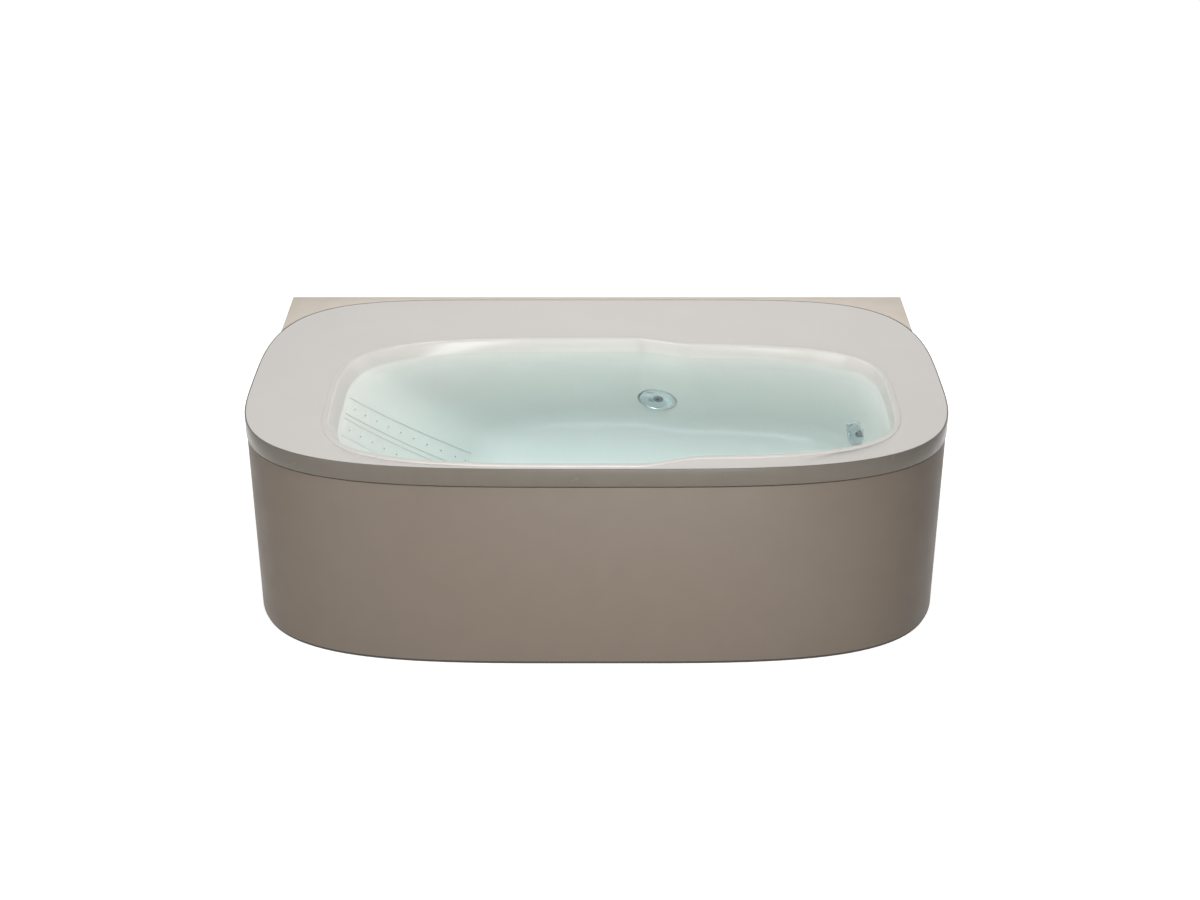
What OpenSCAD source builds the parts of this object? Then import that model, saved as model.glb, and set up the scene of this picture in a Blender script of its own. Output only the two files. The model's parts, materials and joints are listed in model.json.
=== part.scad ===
// Back-to-wall jetted bathtub with an oval deck, a moulded basin and its machinery.
// Millimetres. +X runs along the wall, +Y points at the wall, +Z is up.
// The origin is on the floor, in the middle of the space that the bathtub takes.

/* [Overall] */
// Width along the wall
tub_w = 1900; // [1700:10:2000]
// Depth from the front of the deck to the wall
tub_d = 1100; // [1050:5:1200]
// Height of the basin's raised lip above the floor
tub_h = 595; // [570:5:640]

/* [Deck] */
// Strip of infill between the back of the oval deck and the wall
wall_strip = 21; // [10:1:60]
// Height of the band round the edge of the deck
band_h = 51; // [40:1:70]
// Thickness of the band
band_t = 3; // [2:0.5:5]
// Thickness of the deck's top sheet
sheet_t = 10; // [6:1:14]
// Distance from the oval's widest point in to the straight side of the infill
infill_inset = 30; // [20:1:60]
// Thickness of the infill boards
board_t = 18; // [12:1:25]
// Length of an infill side board, from the wall to the end of the skirt
side_board_d = 253; // [240:1:265]

/* [Skirt] */
// Thickness of the curved skirt
skirt_t = 8; // [4:1:12]
// Setback of the skirt behind the edge band
skirt_setback = 2; // [0.5:0.5:6]
// Shadow gap between the skirt and the edge band
skirt_gap = 3; // [2:0.5:6]
// Height of the dark plinth that the skirt stands over
plinth_h = 60; // [30:1:90]
// Setback of the plinth behind the skirt
plinth_setback = 3; // [1:0.5:5]
// Gap between the skirt and the floor
skirt_lift = 9; // [4:1:15]

/* [Basin] */
// Length of the basin opening
open_l = 1512; // [1400:2:1560]
// Width of the basin opening at its wide end
open_w = 760; // [700:2:780]
// Middle of the opening, to the right of the middle of the deck
open_x = 40; // [20:1:60]
// Width of the ledge in front of the opening
front_ledge = 29; // [26:1:50]
// How far each long side steps in towards the foot end
step_in = 41; // [20:1:60]
// Place where the step begins
step_from = 105; // [60:5:140]
// Place where the step ends
step_to = 280; // [240:5:340]
// Depth of the basin below its lip
basin_depth = 445; // [420:5:470]
// Wall thickness of the basin
basin_t = 6; // [5:0.5:8]
// Width of the raised lip outside the opening
lip_w = 16; // [13:1:18]
// Height of the raised lip above the deck
lip_t = 3; // [2:0.5:5]
// Lean of the long walls, as a slope
side_lean = 0.18; // [0.1:0.01:0.25]
// Lean of the foot end wall, as a slope
foot_lean = 0.19; // [0.12:0.01:0.28]
// Lean of the top of the backrest, as a slope
back_lean = 0.62; // [0.5:0.01:0.7]
// Radius between the walls and the floor
floor_r = 85; // [60:5:100]

/* [Jets] */
// Outside radius of a jet's rosette
jet_r = 56; // [48:1:60]
// Radius of the bore through the basin for a jet
jet_hole_r = 30.5; // [28:0.5:34]
// Radius of a jet's ball
ball_r = 16; // [13:0.5:18]
// Radius of the nozzle in a jet's ball
nozzle_r = 6.5; // [4:0.5:8]
// Tilt of a jet's seat upwards from the wall
jet_up = 12; // [0:1:15]
// Length of a jet's housing behind the basin wall
housing_l = 33; // [32:0.5:34]

/* [Backrest strips] */
// Width of an air strip
strip_w = 88; // [76:2:92]
// Width of the groove on each side of an air strip
strip_groove = 8; // [4:1:9]
// Thickness of an air strip
strip_t = 4; // [4:0.5:6]
// Depth of the recess that an air strip sits in
strip_sink = 3.5; // [2.5:0.5:3.5]
// Distance between the middle lines of the two strips
strip_pitch = 124; // [118:2:140]
// Air holes in each strip
strip_holes = 11; // [8:1:12]

/* [Waste] */
// Radius of the waste flange
waste_r = 35; // [32:0.5:38]
// Lift of the waste plug
plug_lift = 9; // [6:0.5:12]
// Outside radius of the waste pipe
drain_r = 20; // [16:1:22]

/* [Frame] */
// Side of the square frame tube
tube = 30; // [25:1:35]
// Wall of the square frame tube
tube_t = 2; // [1.5:0.5:3]
// Thickness of the board bonded under the basin's floor
base_t = 18; // [12:1:22]
// Half of the distance between the lengthwise frame tubes
rail_y = 235; // [200:5:260]
// Half of the frame's length
frame_x = 850; // [800:5:860]
// Radius of a levelling stud
stud_r = 6; // [5:0.5:8]

/* [Hidden] */
$fn = 64;

// Colours, as the photograph shows them
DECK_GREY = [0.84, 0.83, 0.81];
ACRYLIC = [0.95, 0.94, 0.92];
TAUPE = [0.60, 0.57, 0.52];
BAND_TAUPE = [0.55, 0.52, 0.48];
PLINTH_DARK = [0.16, 0.15, 0.14];
BEIGE = [0.90, 0.84, 0.77];
CHROME = [0.78, 0.80, 0.82];
ZINC = [0.62, 0.64, 0.66];
PIPE_WHITE = [0.88, 0.88, 0.86];
RUBBER = [0.10, 0.10, 0.10];
BOARD = [0.70, 0.58, 0.42];

// Clearances
run_gap = 0.05;
free_gap = 0.3;
panel_gap = 1;

// Deck outline
deck_d = tub_d - wall_strip;
deck_y = -tub_d / 2 + deck_d / 2;
deck_z = tub_h - lip_t;
band_z = deck_z - band_h;
FRONT_POWERS = [3.7, 3.65];
BACK_POWERS = [6.3, 3.0];
RING_POINTS = 120;

// Opening outline
open_a = open_l / 2;
open_b = open_w / 2;
open_y = -tub_d / 2 + front_ledge + open_b;
OPEN_POWER = 3.8;
FLOOR_POWER = 3.0;
seal_gap = 5;
cut_out = basin_t + seal_gap;

// Basin stations: wall steps, then steps round the floor corner
WALL_STEPS = 6;
CORNER_STEPS = 6;
LAST = WALL_STEPS + CORNER_STEPS;
roll = 6;
back_curl = 0.00055;
back_corner = 120;
floor_z = tub_h - basin_depth;
floor_under = floor_z - basin_t;

// Frame levels
base_z = floor_under - base_t;
rail_z = base_z - tube;
frame_y = open_y + 30;
infill_x = tub_w / 2 - infill_inset;
skirt_top = band_z - skirt_gap;
skirt_end_y = tub_d / 2 - side_board_d - panel_gap;

function smooth(v) = let (c = min(1, max(0, v))) c * c * (3 - 2 * c);
function sgn_pow(v, e) = sign(v) * pow(abs(v), e);

// Oval outline of the deck, moved in by an inset
function oval_point(inset, angle) =
  let (powers = sin(angle) < 0 ? FRONT_POWERS : BACK_POWERS)
  [(tub_w / 2 - inset) * sgn_pow(cos(angle), 2 / powers[0]),
   deck_y + (deck_d / 2 - inset) * sgn_pow(sin(angle), 2 / powers[1])];
function oval(inset) = [for (i = [0:RING_POINTS - 1])
  let (
    angle = 360 * i / RING_POINTS
  )
  oval_point(inset, angle)];

// Directions round the opening, closer together where its sides step in
STEP_FINE = [for (a = [66:2:86]) a];
QUARTER = [for (a = [2:4:62]) a];
HALF_FRONT = concat(QUARTER, STEP_FINE, [for (a = [90:4:178]) a]);
DIRECTIONS = concat(HALF_FRONT, [for (i = [len(HALF_FRONT) - 1:-1:0]) 360 - HALF_FRONT[i]]);

// Point of the opening's outline in one direction, with the ends and the sides moved in
function open_point(angle, end_in, side_in, power) =
  let (
    c = cos(angle),
    s = sin(angle),
    q = pow(pow(abs(c), power) + pow(abs(s), power), 1 / power),
    x = open_x + (open_a - end_in) * c / q,
    stepped = open_b - side_in - step_in * smooth((x - step_from) / (step_to - step_from))
  )
  [x, open_y + stepped * s / q];

function opening(outset) = [for (a = DIRECTIONS) open_point(a, -outset, -outset, OPEN_POWER)];

// Profile of a wall: distance in from the opening, drop below the lip, angle from vertical
function lean_at(lean, curl, drop) = atan(lean + 2 * curl * drop);
function station(k, lean, curl, corner) =
  let (
    turn_start = lean_at(lean, curl, basin_depth - 0.4 * corner),
    wall_drop = basin_depth - corner * (1 - sin(turn_start)),
    wall_in = wall_drop * (lean + curl * wall_drop)
  )
  k <= WALL_STEPS
    ? let (drop = roll + (wall_drop - roll) * k / WALL_STEPS)
      [drop * (lean + curl * drop), drop, lean_at(lean, curl, drop)]
    : let (turn = turn_start + (90 - turn_start) * (k - WALL_STEPS) / CORNER_STEPS)
      [wall_in + corner * (cos(turn_start) - cos(turn)),
       wall_drop + (basin_depth - wall_drop) * (sin(turn) - sin(turn_start)) / (1 - sin(turn_start)),
       turn];
function side_station(k) = station(k, side_lean, 0, floor_r);
function foot_station(k) = station(k, foot_lean, 0, floor_r);
function back_station(k) = station(k, back_lean, back_curl, back_corner);

// Point of the basin's surface; skin moves it out through the wall
function basin_point(angle, k, skin) =
  let (
    side = side_station(k),
    end = cos(angle) < 0 ? back_station(k) : foot_station(k),
    power = OPEN_POWER + (FLOOR_POWER - OPEN_POWER) * k / LAST,
    p = open_point(angle, end[0] - skin * cos(end[2]), side[0] - skin * cos(side[2]), power),
    end_share = pow(abs(cos(angle)), 4),
    side_share = pow(abs(sin(angle)), 4),
    drop = (end_share * (end[1] + skin * sin(end[2])) + side_share * (side[1] + skin * sin(side[2])))
      / (end_share + side_share)
  )
  [p[0], p[1], tub_h - drop];

function lip_ring(outset, z) = [for (p = opening(outset)) [p[0], p[1], z]];
function wall_ring(k, skin) = [for (a = DIRECTIONS) basin_point(a, k, skin)];
BASIN_RINGS = concat(
  [for (k = [LAST:-1:0]) wall_ring(k, 0)],
  [lip_ring(1.5, tub_h - 1.2),
   lip_ring(4, tub_h),
   lip_ring(lip_w - 3, tub_h),
   lip_ring(lip_w, tub_h - 1.5),
   lip_ring(lip_w, deck_z + run_gap),
   lip_ring(basin_t, deck_z + run_gap)],
  [for (k = [0:LAST]) wall_ring(k, basin_t)]);

module skin_of(rings) {
  count = len(rings[0]);
  last = len(rings) - 1;
  points = [for (ring = rings) each ring];
  sides = [for (r = [0:last - 1], i = [0:count - 1])
    let (j = (i + 1) % count, a = r * count, b = (r + 1) * count)
    each [[a + i, a + j, b + j], [a + i, b + j, b + i]]];
  caps = [[for (i = [count - 1:-1:0]) i], [for (i = [0:count - 1]) last * count + i]];
  polyhedron(points, concat(sides, caps), 4);
}

// Places things on the basin wall: the local +Z axis points into the water
function wall_normal(angle, k) =
  let (
    along = basin_point(angle + 1, k, 0) - basin_point(angle - 1, k, 0),
    down = basin_point(angle, k + 0.3, 0) - basin_point(angle, k - 0.3, 0),
    n = cross(along, down)
  )
  n / norm(n);

// A place is a direction and a station, then its tilt upwards and its depth behind the wall's face
function place_tilt(place) = len(place) > 2 ? place[2] : 0;
function place_sink(place) = len(place) > 2 ? place[3] : 0;
function place_normal(place) =
  let (
    n = wall_normal(place[0], place[1]),
    turn = atan2(n[1], n[0]),
    rise = asin(n[2]) + place_tilt(place)
  )
  [cos(rise) * cos(turn), cos(rise) * sin(turn), sin(rise)];
function place_origin(place) =
  basin_point(place[0], place[1], 0) - place_sink(place) * place_normal(place);

module on_wall(place) {
  n = place_normal(place);
  translate(place_origin(place))
    rotate([0, acos(n[2]), atan2(n[1], n[0])])
      children();
}

// Directions and stations of the jets, the suction, the overflow and the button
SIDE_JET = [79, 5.0];
FOOT_JET = [20.5, 5.1];
jet_seat_r = jet_r + 3;
// The lower edge of a seat lies flush with the wall
jet_sink = jet_seat_r * sin(jet_up);
JETS = [for (place = [SIDE_JET, FOOT_JET], angle = [place[0], 360 - place[0]])
  [angle, place[1], jet_up, jet_sink]];
JET_COUNT = len(JETS);
SUCTION = [257, 4.9];
OVERFLOW = [268, 0.62];
BUTTON = [301, 0.5];

seat_up = 1.5;
rosette_z = seat_up + 4;
flange_t = 3;
gasket_t = 1;

module jet_place(i) {
  on_wall(JETS[i]) children();
}

// The same place as a point: v is measured along the local axes
function wall_place(place, v) =
  let (
    n = place_normal(place),
    tilt = acos(n[2]),
    turn = atan2(n[1], n[0])
  )
  place_origin(place)
    + v[0] * [cos(tilt) * cos(turn), cos(tilt) * sin(turn), -sin(tilt)]
    + v[1] * [-sin(turn), cos(turn), 0]
    + v[2] * n;

module ring(outer, inner, z0, z1) {
  translate([0, 0, z0])
    difference() {
      cylinder(r = outer, h = z1 - z0);
      translate([0, 0, -1]) cylinder(r = inner, h = z1 - z0 + 2);
    }
}

module prism(points, z0, z1) {
  translate([0, 0, z0]) linear_extrude(z1 - z0) polygon(points);
}

module prism_ring(outer, inner, z0, z1) {
  difference() {
    prism(outer, z0, z1);
    prism(inner, z0 - 1, z1 + 1);
  }
}

// Seat moulded in the basin wall: a boss behind, a flat recess in front and a bore
module seat_boss(r, thick, rim = 0) {
  translate([0, 0, seat_up - thick]) cylinder(r = r, h = thick + rim);
}

module seat_cut(r, bore, thick) {
  translate([0, 0, seat_up]) cylinder(r = r, h = 45);
  translate([0, 0, seat_up - thick - 5]) cylinder(r = bore, h = thick + 10);
}

seat_t = 13;
small_bore = 17.5;
suction_r = 52;
suction_bore = 34.5;
over_r = 30;
button_r = 17;
waste_x = 60;
waste_y = open_y;
waste_bore = 26;

// Backrest strips follow the backrest's profile
strip_pad = 3;
strip_from = 0.7;
strip_to = 7.2;
STRIP_STEPS = 18;
strip_mid = open_y - 27;
strip_ys = [strip_mid + strip_pitch / 2, strip_mid - strip_pitch / 2];
function back_profile(k, lift) =
  let (s = back_station(k))
  [open_x - open_a + s[0] + lift * cos(s[2]), tub_h - s[1] + lift * sin(s[2])];
function strip_k(i) = strip_from + (strip_to - strip_from) * i / STRIP_STEPS;

module profile_bar(lift_low, lift_high, wide, from = 0, to = STRIP_STEPS) {
  low = [for (i = [from:to]) back_profile(strip_k(i), lift_low)];
  high = [for (i = [to:-1:from]) back_profile(strip_k(i), lift_high)];
  translate([0, wide / 2, 0]) rotate([90, 0, 0]) linear_extrude(wide) polygon(concat(low, high));
}

module basin() {
  color(ACRYLIC)
    difference() {
      union() {
        skin_of(BASIN_RINGS);
        difference() {
          union() {
            for (i = [0:JET_COUNT - 1]) jet_place(i) seat_boss(jet_seat_r + 3, seat_t, 2 * jet_sink + 4);
            // pads behind the strips, where the corner curves forward of their flat recess
            for (y = strip_ys)
              translate([0, y, 0])
                profile_bar(-basin_t - 0.1, 20, strip_w + 2 * strip_groove + 2 * strip_pad, -1, STRIP_STEPS + 1);
          }
          skin_of([for (k = [0:LAST]) wall_ring(k, 0.1)]);
        }
        on_wall(SUCTION) seat_boss(suction_r + 6, seat_t);
      }
      for (i = [0:JET_COUNT - 1]) jet_place(i) seat_cut(jet_seat_r, jet_hole_r, seat_t);
      on_wall(SUCTION) seat_cut(suction_r + 3, suction_bore, seat_t);
      on_wall(OVERFLOW) translate([0, 0, -20]) cylinder(r = small_bore, h = 40);
      on_wall(BUTTON) translate([0, 0, -20]) cylinder(r = 9.5, h = 40);
      translate([waste_x, waste_y, floor_under - 1]) cylinder(r = waste_bore, h = 20);
      for (y = strip_ys)
        translate([0, y, 0]) {
          profile_bar(-strip_sink, 30, strip_w + 2 * strip_groove);
          profile_bar(-30, 5, 14, 1, STRIP_STEPS - 1);
        }
    }
}

module lip_seal() {
  color(RUBBER)
    prism_ring(opening(cut_out - free_gap), opening(basin_t + free_gap), deck_z - sheet_t, deck_z - 0.2);
}

module deck_top() {
  color(DECK_GREY)
    prism_ring(oval(band_t + 0.2), opening(cut_out), deck_z - sheet_t, deck_z);
}

core_inset = 6;
module deck_core() {
  color(BOARD)
    difference() {
      prism_ring(oval(core_inset), opening(cut_out + 2), band_z + band_t, deck_z - sheet_t);
      on_wall(OVERFLOW)
        translate([-over_up - 3, -over_half - 3, over_back - 2])
          cube([over_up + 60, 2 * over_half + 6, 40]);
    }
}

module edge_band() {
  color(BAND_TAUPE)
    difference() {
      prism(oval(0), band_z, deck_z);
      prism(oval(band_t), band_z + band_t, deck_z + 1);
      prism(oval(band_t + 12), band_z - 1, deck_z);
    }
}

module front_half(inset, thick, z0, z1) {
  intersection() {
    prism_ring(oval(inset), oval(inset + thick), z0, z1);
    translate([-tub_w, -tub_d, z0 - 1]) cube([2 * tub_w, tub_d + skirt_end_y, z1 - z0 + 2]);
  }
}

skirt_in = skirt_setback + skirt_t;
module front_skirt() {
  color(TAUPE) front_half(skirt_setback, skirt_t, skirt_lift, skirt_top);
}

// The plinth shows as a dark line under the skirt, and its upright flange holds the skirt from inside
plinth_t = 6;
module plinth() {
  color(PLINTH_DARK) {
    front_half(skirt_setback + plinth_setback, skirt_in - skirt_setback - plinth_setback + plinth_t, 0,
      skirt_lift - free_gap);
    front_half(skirt_in, plinth_t, skirt_lift - free_gap, plinth_h);
  }
}

module infill_top() {
  color(BEIGE)
    difference() {
      translate([-infill_x, 0, band_z]) cube([2 * infill_x, tub_d / 2, band_h]);
      prism(oval(-panel_gap), band_z - 1, deck_z + 1);
    }
}

module infill_side(x) {
  color(BEIGE)
    translate([x, skirt_end_y + panel_gap, 0])
      cube([board_t, side_board_d, band_z]);
}

module infill_side_left() {
  infill_side(-infill_x);
}

module infill_side_right() {
  infill_side(infill_x - board_t);
}

rail_deep = 25;
module wall_rail() {
  color(BOARD)
    translate([-infill_x + board_t, tub_d / 2 - rail_deep, band_z - 45])
      cube([2 * (infill_x - board_t), rail_deep, 45]);
}

board_x0 = -300;
board_x1 = 600;
board_half = 210;
module base_board() {
  color(BOARD)
    difference() {
      translate([board_x0, open_y - board_half, base_z])
        cube([board_x1 - board_x0, 2 * board_half, base_t]);
      translate([waste_x, waste_y, base_z - 1]) cylinder(r = 48, h = base_t + 2);
    }
}

module box_tube(size) {
  open_x_axis = size[0] >= size[1] && size[0] >= size[2];
  open_z_axis = size[2] > size[0] && size[2] > size[1];
  difference() {
    cube(size);
    if (open_x_axis)
      translate([-1, tube_t, tube_t]) cube([size[0] + 2, size[1] - 2 * tube_t, size[2] - 2 * tube_t]);
    else if (open_z_axis)
      translate([tube_t, tube_t, -1]) cube([size[0] - 2 * tube_t, size[1] - 2 * tube_t, size[2] + 2]);
    else
      translate([tube_t, -1, tube_t]) cube([size[0] - 2 * tube_t, size[1] + 2, size[2] - 2 * tube_t]);
  }
}

cross_xs = [-frame_x, -520, 0 - tube / 2 - 40, 350, frame_x - tube];
back_post_y = 420;
module base_frame() {
  color(ZINC) {
    for (y = [frame_y - rail_y, frame_y + rail_y - tube])
      for (i = [0:len(cross_xs) - 2])
        translate([cross_xs[i] + tube, y, rail_z])
          box_tube([cross_xs[i + 1] - cross_xs[i] - tube, tube, tube]);
    for (x = cross_xs)
      translate([x, frame_y - rail_y, rail_z])
        box_tube([tube, back_post_y + tube - frame_y + rail_y, tube]);
  }
}

// The corner posts carry the band and the infill, the others the core of the deck
post_top = band_z + band_t;
tie_z = post_top - 90;
module post(x, y, top = post_top) {
  translate([x, y, base_z]) box_tube([tube, tube, top - base_z]);
}

module deck_posts() {
  color(ZINC) {
    for (x = [cross_xs[1], cross_xs[3]]) post(x, back_post_y);
    for (x = [cross_xs[0], cross_xs[4]]) post(x, back_post_y, band_z);
    for (x = [cross_xs[0], cross_xs[4]]) post(x, frame_y - rail_y);
    for (span = [[cross_xs[0], cross_xs[1]], [cross_xs[3], cross_xs[4]]])
      translate([span[0] + tube, back_post_y, tie_z]) box_tube([span[1] - span[0] - tube, tube, tube]);
  }
}

BRACKET_ANGLES = [200, 232, 250, 269, 290, 308, 340];
function oval_turn(angle) =
  let (a = oval_point(0, angle - 2), b = oval_point(0, angle + 2))
  atan2(b[1] - a[1], b[0] - a[0]);
clip_w = 20;
clip_t = 2;
clip_gap = 0.8;
// Spring clips hang from the edge band and press on the inside of the skirt
module skirt_brackets() {
  color(ZINC)
    for (angle = BRACKET_ANGLES) {
      p = oval_point(skirt_in + clip_gap, angle);
      translate([p[0], p[1], 0]) rotate(oval_turn(angle)) {
        translate([-clip_w / 2, 0, skirt_top - 70]) cube([clip_w, clip_t, 70 + skirt_gap]);
        translate([-clip_w / 2, 0, band_z - clip_t]) cube([clip_w, 9, clip_t]);
      }
    }
}

screw_xy = [[cross_xs[0] + tube / 2, back_post_y + tube / 2],
  [cross_xs[1] + tube / 2, back_post_y + tube / 2],
  [cross_xs[3] + tube / 2, back_post_y + tube / 2], [cross_xs[4] + tube / 2, back_post_y + tube / 2],
  [cross_xs[0] + tube / 2, frame_y - rail_y + tube / 2],
  [cross_xs[4] + tube / 2, frame_y - rail_y + tube / 2]];
module frame_screws() {
  color(ZINC)
    for (p = screw_xy)
      translate([p[0], p[1] - tube / 2 - 10, post_top - 22])
        rotate([-90, 0, 0]) {
          cylinder(r = 5, h = 4, $fn = 6);
          translate([0, 0, 4]) cylinder(r = 3, h = 5.7);
        }
}

foot_xs = [cross_xs[0] + tube / 2, cross_xs[2] + tube / 2, cross_xs[4] + tube / 2];
foot_ys = [frame_y - rail_y + tube / 2, back_post_y + tube / 2];
pad_h = 14;
module at_feet() {
  for (x = foot_xs, y = foot_ys) translate([x, y, 0]) children();
}

module levelling_studs() {
  color(ZINC) at_feet() translate([0, 0, 6]) cylinder(r = stud_r, h = rail_z - 6);
}

module lock_nuts() {
  color(ZINC)
    at_feet()
      translate([0, 0, rail_z - 10])
        difference() {
          cylinder(r = 1.9 * stud_r, h = 10, $fn = 6);
          translate([0, 0, -1]) cylinder(r = stud_r + run_gap, h = 12, $fn = 64);
        }
}

module foot_pads() {
  color(RUBBER)
    at_feet()
      difference() {
        union() {
          cylinder(r = 24, h = pad_h - 6);
          cylinder(r = 13, h = pad_h);
        }
        translate([0, 0, 6]) cylinder(r = stud_r + run_gap, h = pad_h);
      }
}

sleeve_r = jet_hole_r - 4.5;
// Rotating rosette: rounded bezel, concave dish and a socket that holds the ball
module rosette() {
  color(CHROME)
    difference() {
      rotate_extrude($fn = 96)
        polygon([[0, -13], [sleeve_r - run_gap, -13], [sleeve_r - run_gap, rosette_z],
          [jet_r - 1, rosette_z],
          [jet_r, rosette_z + 1.5], [jet_r - 0.8, rosette_z + 4], [jet_r - 3, rosette_z + 6],
          [jet_r - 6, rosette_z + 7], [jet_r - 8.5, rosette_z + 6.2], [jet_r - 9.5, rosette_z + 4.4],
          [jet_r - 11, rosette_z + 4.2], [0.62 * jet_r, rosette_z + 1.8], [0.4 * jet_r, rosette_z],
          [0.3 * jet_r, rosette_z - 0.6], [0, rosette_z - 0.6]]);
      sphere(r = ball_r + free_gap, $fn = 96);
      translate([0, 0, -20]) cylinder(r = ball_r - 3, h = 21);
      translate([0, 0, -20]) cylinder(r = ball_r + free_gap, h = 8);
    }
}

// Ball with the nozzle through it
module jet_ball() {
  color([0.30, 0.32, 0.34])
    difference() {
      sphere(r = ball_r, $fn = 96);
      translate([0, 0, -ball_r - 1]) cylinder(r = nozzle_r, h = 2 * ball_r + 2);
      translate([0, 0, 0.72 * ball_r]) cylinder(r1 = nozzle_r, r2 = nozzle_r + 3.5, h = 0.3 * ball_r);
    }
}

module jet_rosette_back() {
  jet_place(0) rosette();
}

module jet_rosette_front() {
  jet_place(1) rosette();
}

module jet_rosette_foot_back() {
  jet_place(2) rosette();
}

module jet_rosette_foot_front() {
  jet_place(3) rosette();
}

module jet_ball_back() {
  jet_place(0) jet_ball();
}

module jet_ball_front() {
  jet_place(1) jet_ball();
}

module jet_ball_foot_back() {
  jet_place(2) jet_ball();
}

module jet_ball_foot_front() {
  jet_place(3) jet_ball();
}

housing_flange_r = 42;
barb_l = 6;
barb_r = 11.5;
barb_bore = 9;
module jet_housings() {
  color(PIPE_WHITE)
    for (i = [0:JET_COUNT - 1])
      jet_place(i) {
        difference() {
          union() {
            translate([0, 0, -housing_l])
              cylinder(r = jet_hole_r - 0.3, h = housing_l + seat_up + gasket_t);
            translate([0, 0, seat_up + gasket_t])
              cylinder(r = housing_flange_r, h = rosette_z - seat_up - gasket_t - free_gap);
          }
          translate([0, 0, -housing_l + 4]) cylinder(r = sleeve_r, h = housing_l + 20);
          translate([0, 0, -housing_l - 1]) cylinder(r = barb_bore, h = 10);
        }
        translate([0, 0, -housing_l - barb_l]) ring(barb_r, barb_bore, 0, barb_l);
      }
}

module jet_gaskets() {
  color(RUBBER)
    for (i = [0:JET_COUNT - 1]) jet_place(i)
      ring(housing_flange_r + 2, jet_hole_r, seat_up, seat_up + gasket_t);
}

module jet_nuts() {
  color(PIPE_WHITE)
    for (i = [0:JET_COUNT - 1])
      jet_place(i)
        difference() {
          translate([0, 0, seat_up - seat_t - 8]) cylinder(r = 44, h = 8, $fn = 8);
          translate([0, 0, -seat_t - 12]) cylinder(r = jet_hole_r - 0.3 + run_gap, h = 14, $fn = 64);
        }
}

module air_strip(y) {
  color(ACRYLIC)
    translate([0, y, 0])
      difference() {
        profile_bar(-strip_sink, strip_t - strip_sink, strip_w);
        for (i = [0:strip_holes - 1])
          let (
            k = strip_k((i + 0.8) * STRIP_STEPS / (strip_holes + 0.6)),
            p = back_profile(k, -strip_sink - 2),
            s = back_station(k)
          )
            translate([p[0], 0, p[1]])
              rotate([0, 90 - s[2], 0]) {
                cylinder(r = 2.5, h = strip_t + 4);
                translate([0, 0, strip_t - 0.4]) cylinder(r1 = 2.5, r2 = 7.5, h = 4);
              }
      }
}

module air_strip_back() {
  air_strip(strip_ys[0]);
}

module air_strip_front() {
  air_strip(strip_ys[1]);
}

channel_h = 22;
channel_lift = -basin_t - 0.6;
module air_channels() {
  color(PIPE_WHITE)
    for (y = strip_ys)
      translate([0, y, 0])
        difference() {
          profile_bar(channel_lift - channel_h, channel_lift, 40, 0, STRIP_STEPS);
          profile_bar(channel_lift - channel_h + 3, channel_lift + 1, 34, 1, STRIP_STEPS - 1);
        }
}

// Straight run of round bar between two points
module aim(a, b) {
  d = b - a;
  translate(a) rotate([0, acos(d[2] / norm(d)), atan2(d[1], d[0])]) children();
}

module run(a, b, r) {
  aim(a, b) cylinder(r = r, h = norm(b - a));
}

// Straight tubes through a list of points, with an elbow at each bend and a socket for each tube
elbow_wall = 4;
joint_gap = 0.05;
function elbow_reach(r) = r + 2 * elbow_wall;
function way(a, b) = (b - a) / norm(b - a);
module straight_tube(a, b, r, t, elbow_a, elbow_b) {
  back_off = elbow_reach(r) + joint_gap;
  start = a + (elbow_a ? back_off : 0) * way(a, b);
  stop = b - (elbow_b ? back_off : 0) * way(a, b);
  difference() {
    run(start, stop, r);
    run(start - way(a, b), stop + way(a, b), r - t);
  }
}

module elbow(place, ends, r, t) {
  difference() {
    union() {
      aim(place, ends[0]) rotate([0, 0, 75]) sphere(r = r + elbow_wall + 1.5);
      for (i = [0:len(ends) - 1])
        run(place + 0.3 * r * way(place, ends[i]), place + elbow_reach(r) * way(place, ends[i]),
          r + elbow_wall - 1 - 0.3 * i);
    }
    for (i = [0:len(ends) - 1])
      run(place + 0.45 * r * way(place, ends[i]), place + 2 * elbow_reach(r) * way(place, ends[i]),
        r - t - 0.3 * i);
    aim(place, ends[0]) rotate([0, 0, 75]) sphere(r = 0.7 * r);
  }
}

module pipe(points, r, t) {
  last = len(points) - 1;
  for (i = [0:last - 1]) straight_tube(points[i], points[i + 1], r, t, i > 0, i + 1 < last);
  if (last > 1)
    for (i = [1:last - 1]) elbow(points[i], [points[i - 1], points[i + 1]], r, t);
}

// Blower beside the backrest, with a wheel on its shaft
blower_x = -700;
blower_y = 330;
blower_z = base_z;
blower_r = 78;
blower_shaft_r = 6;
module blower_case() {
  color([0.25, 0.26, 0.28])
    translate([blower_x, blower_y, blower_z + 10]) {
      difference() {
        union() {
          cylinder(r = blower_r, h = 80);
          translate([0, 0, 80]) cylinder(r = 45, h = 60);
          translate([0, -blower_r + 16, 40]) rotate([0, 90, 0]) cylinder(r = 16, h = 110);
        }
        translate([0, 0, 6]) cylinder(r = blower_r - 5, h = 68);
        translate([0, 0, -1]) cylinder(r = 30, h = 10);
        translate([0, 0, 60]) cylinder(r = 40, h = 75);
        translate([0, 0, 130]) cylinder(r = blower_shaft_r + run_gap, h = 9);
        translate([0, -blower_r + 16, 40]) rotate([0, 90, 0]) cylinder(r = 12, h = 112);
      }
      for (a = [45:90:315]) rotate(a) translate([blower_r - 18, 0, -10]) cylinder(r = 8, h = 10.2);
    }
}

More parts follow.
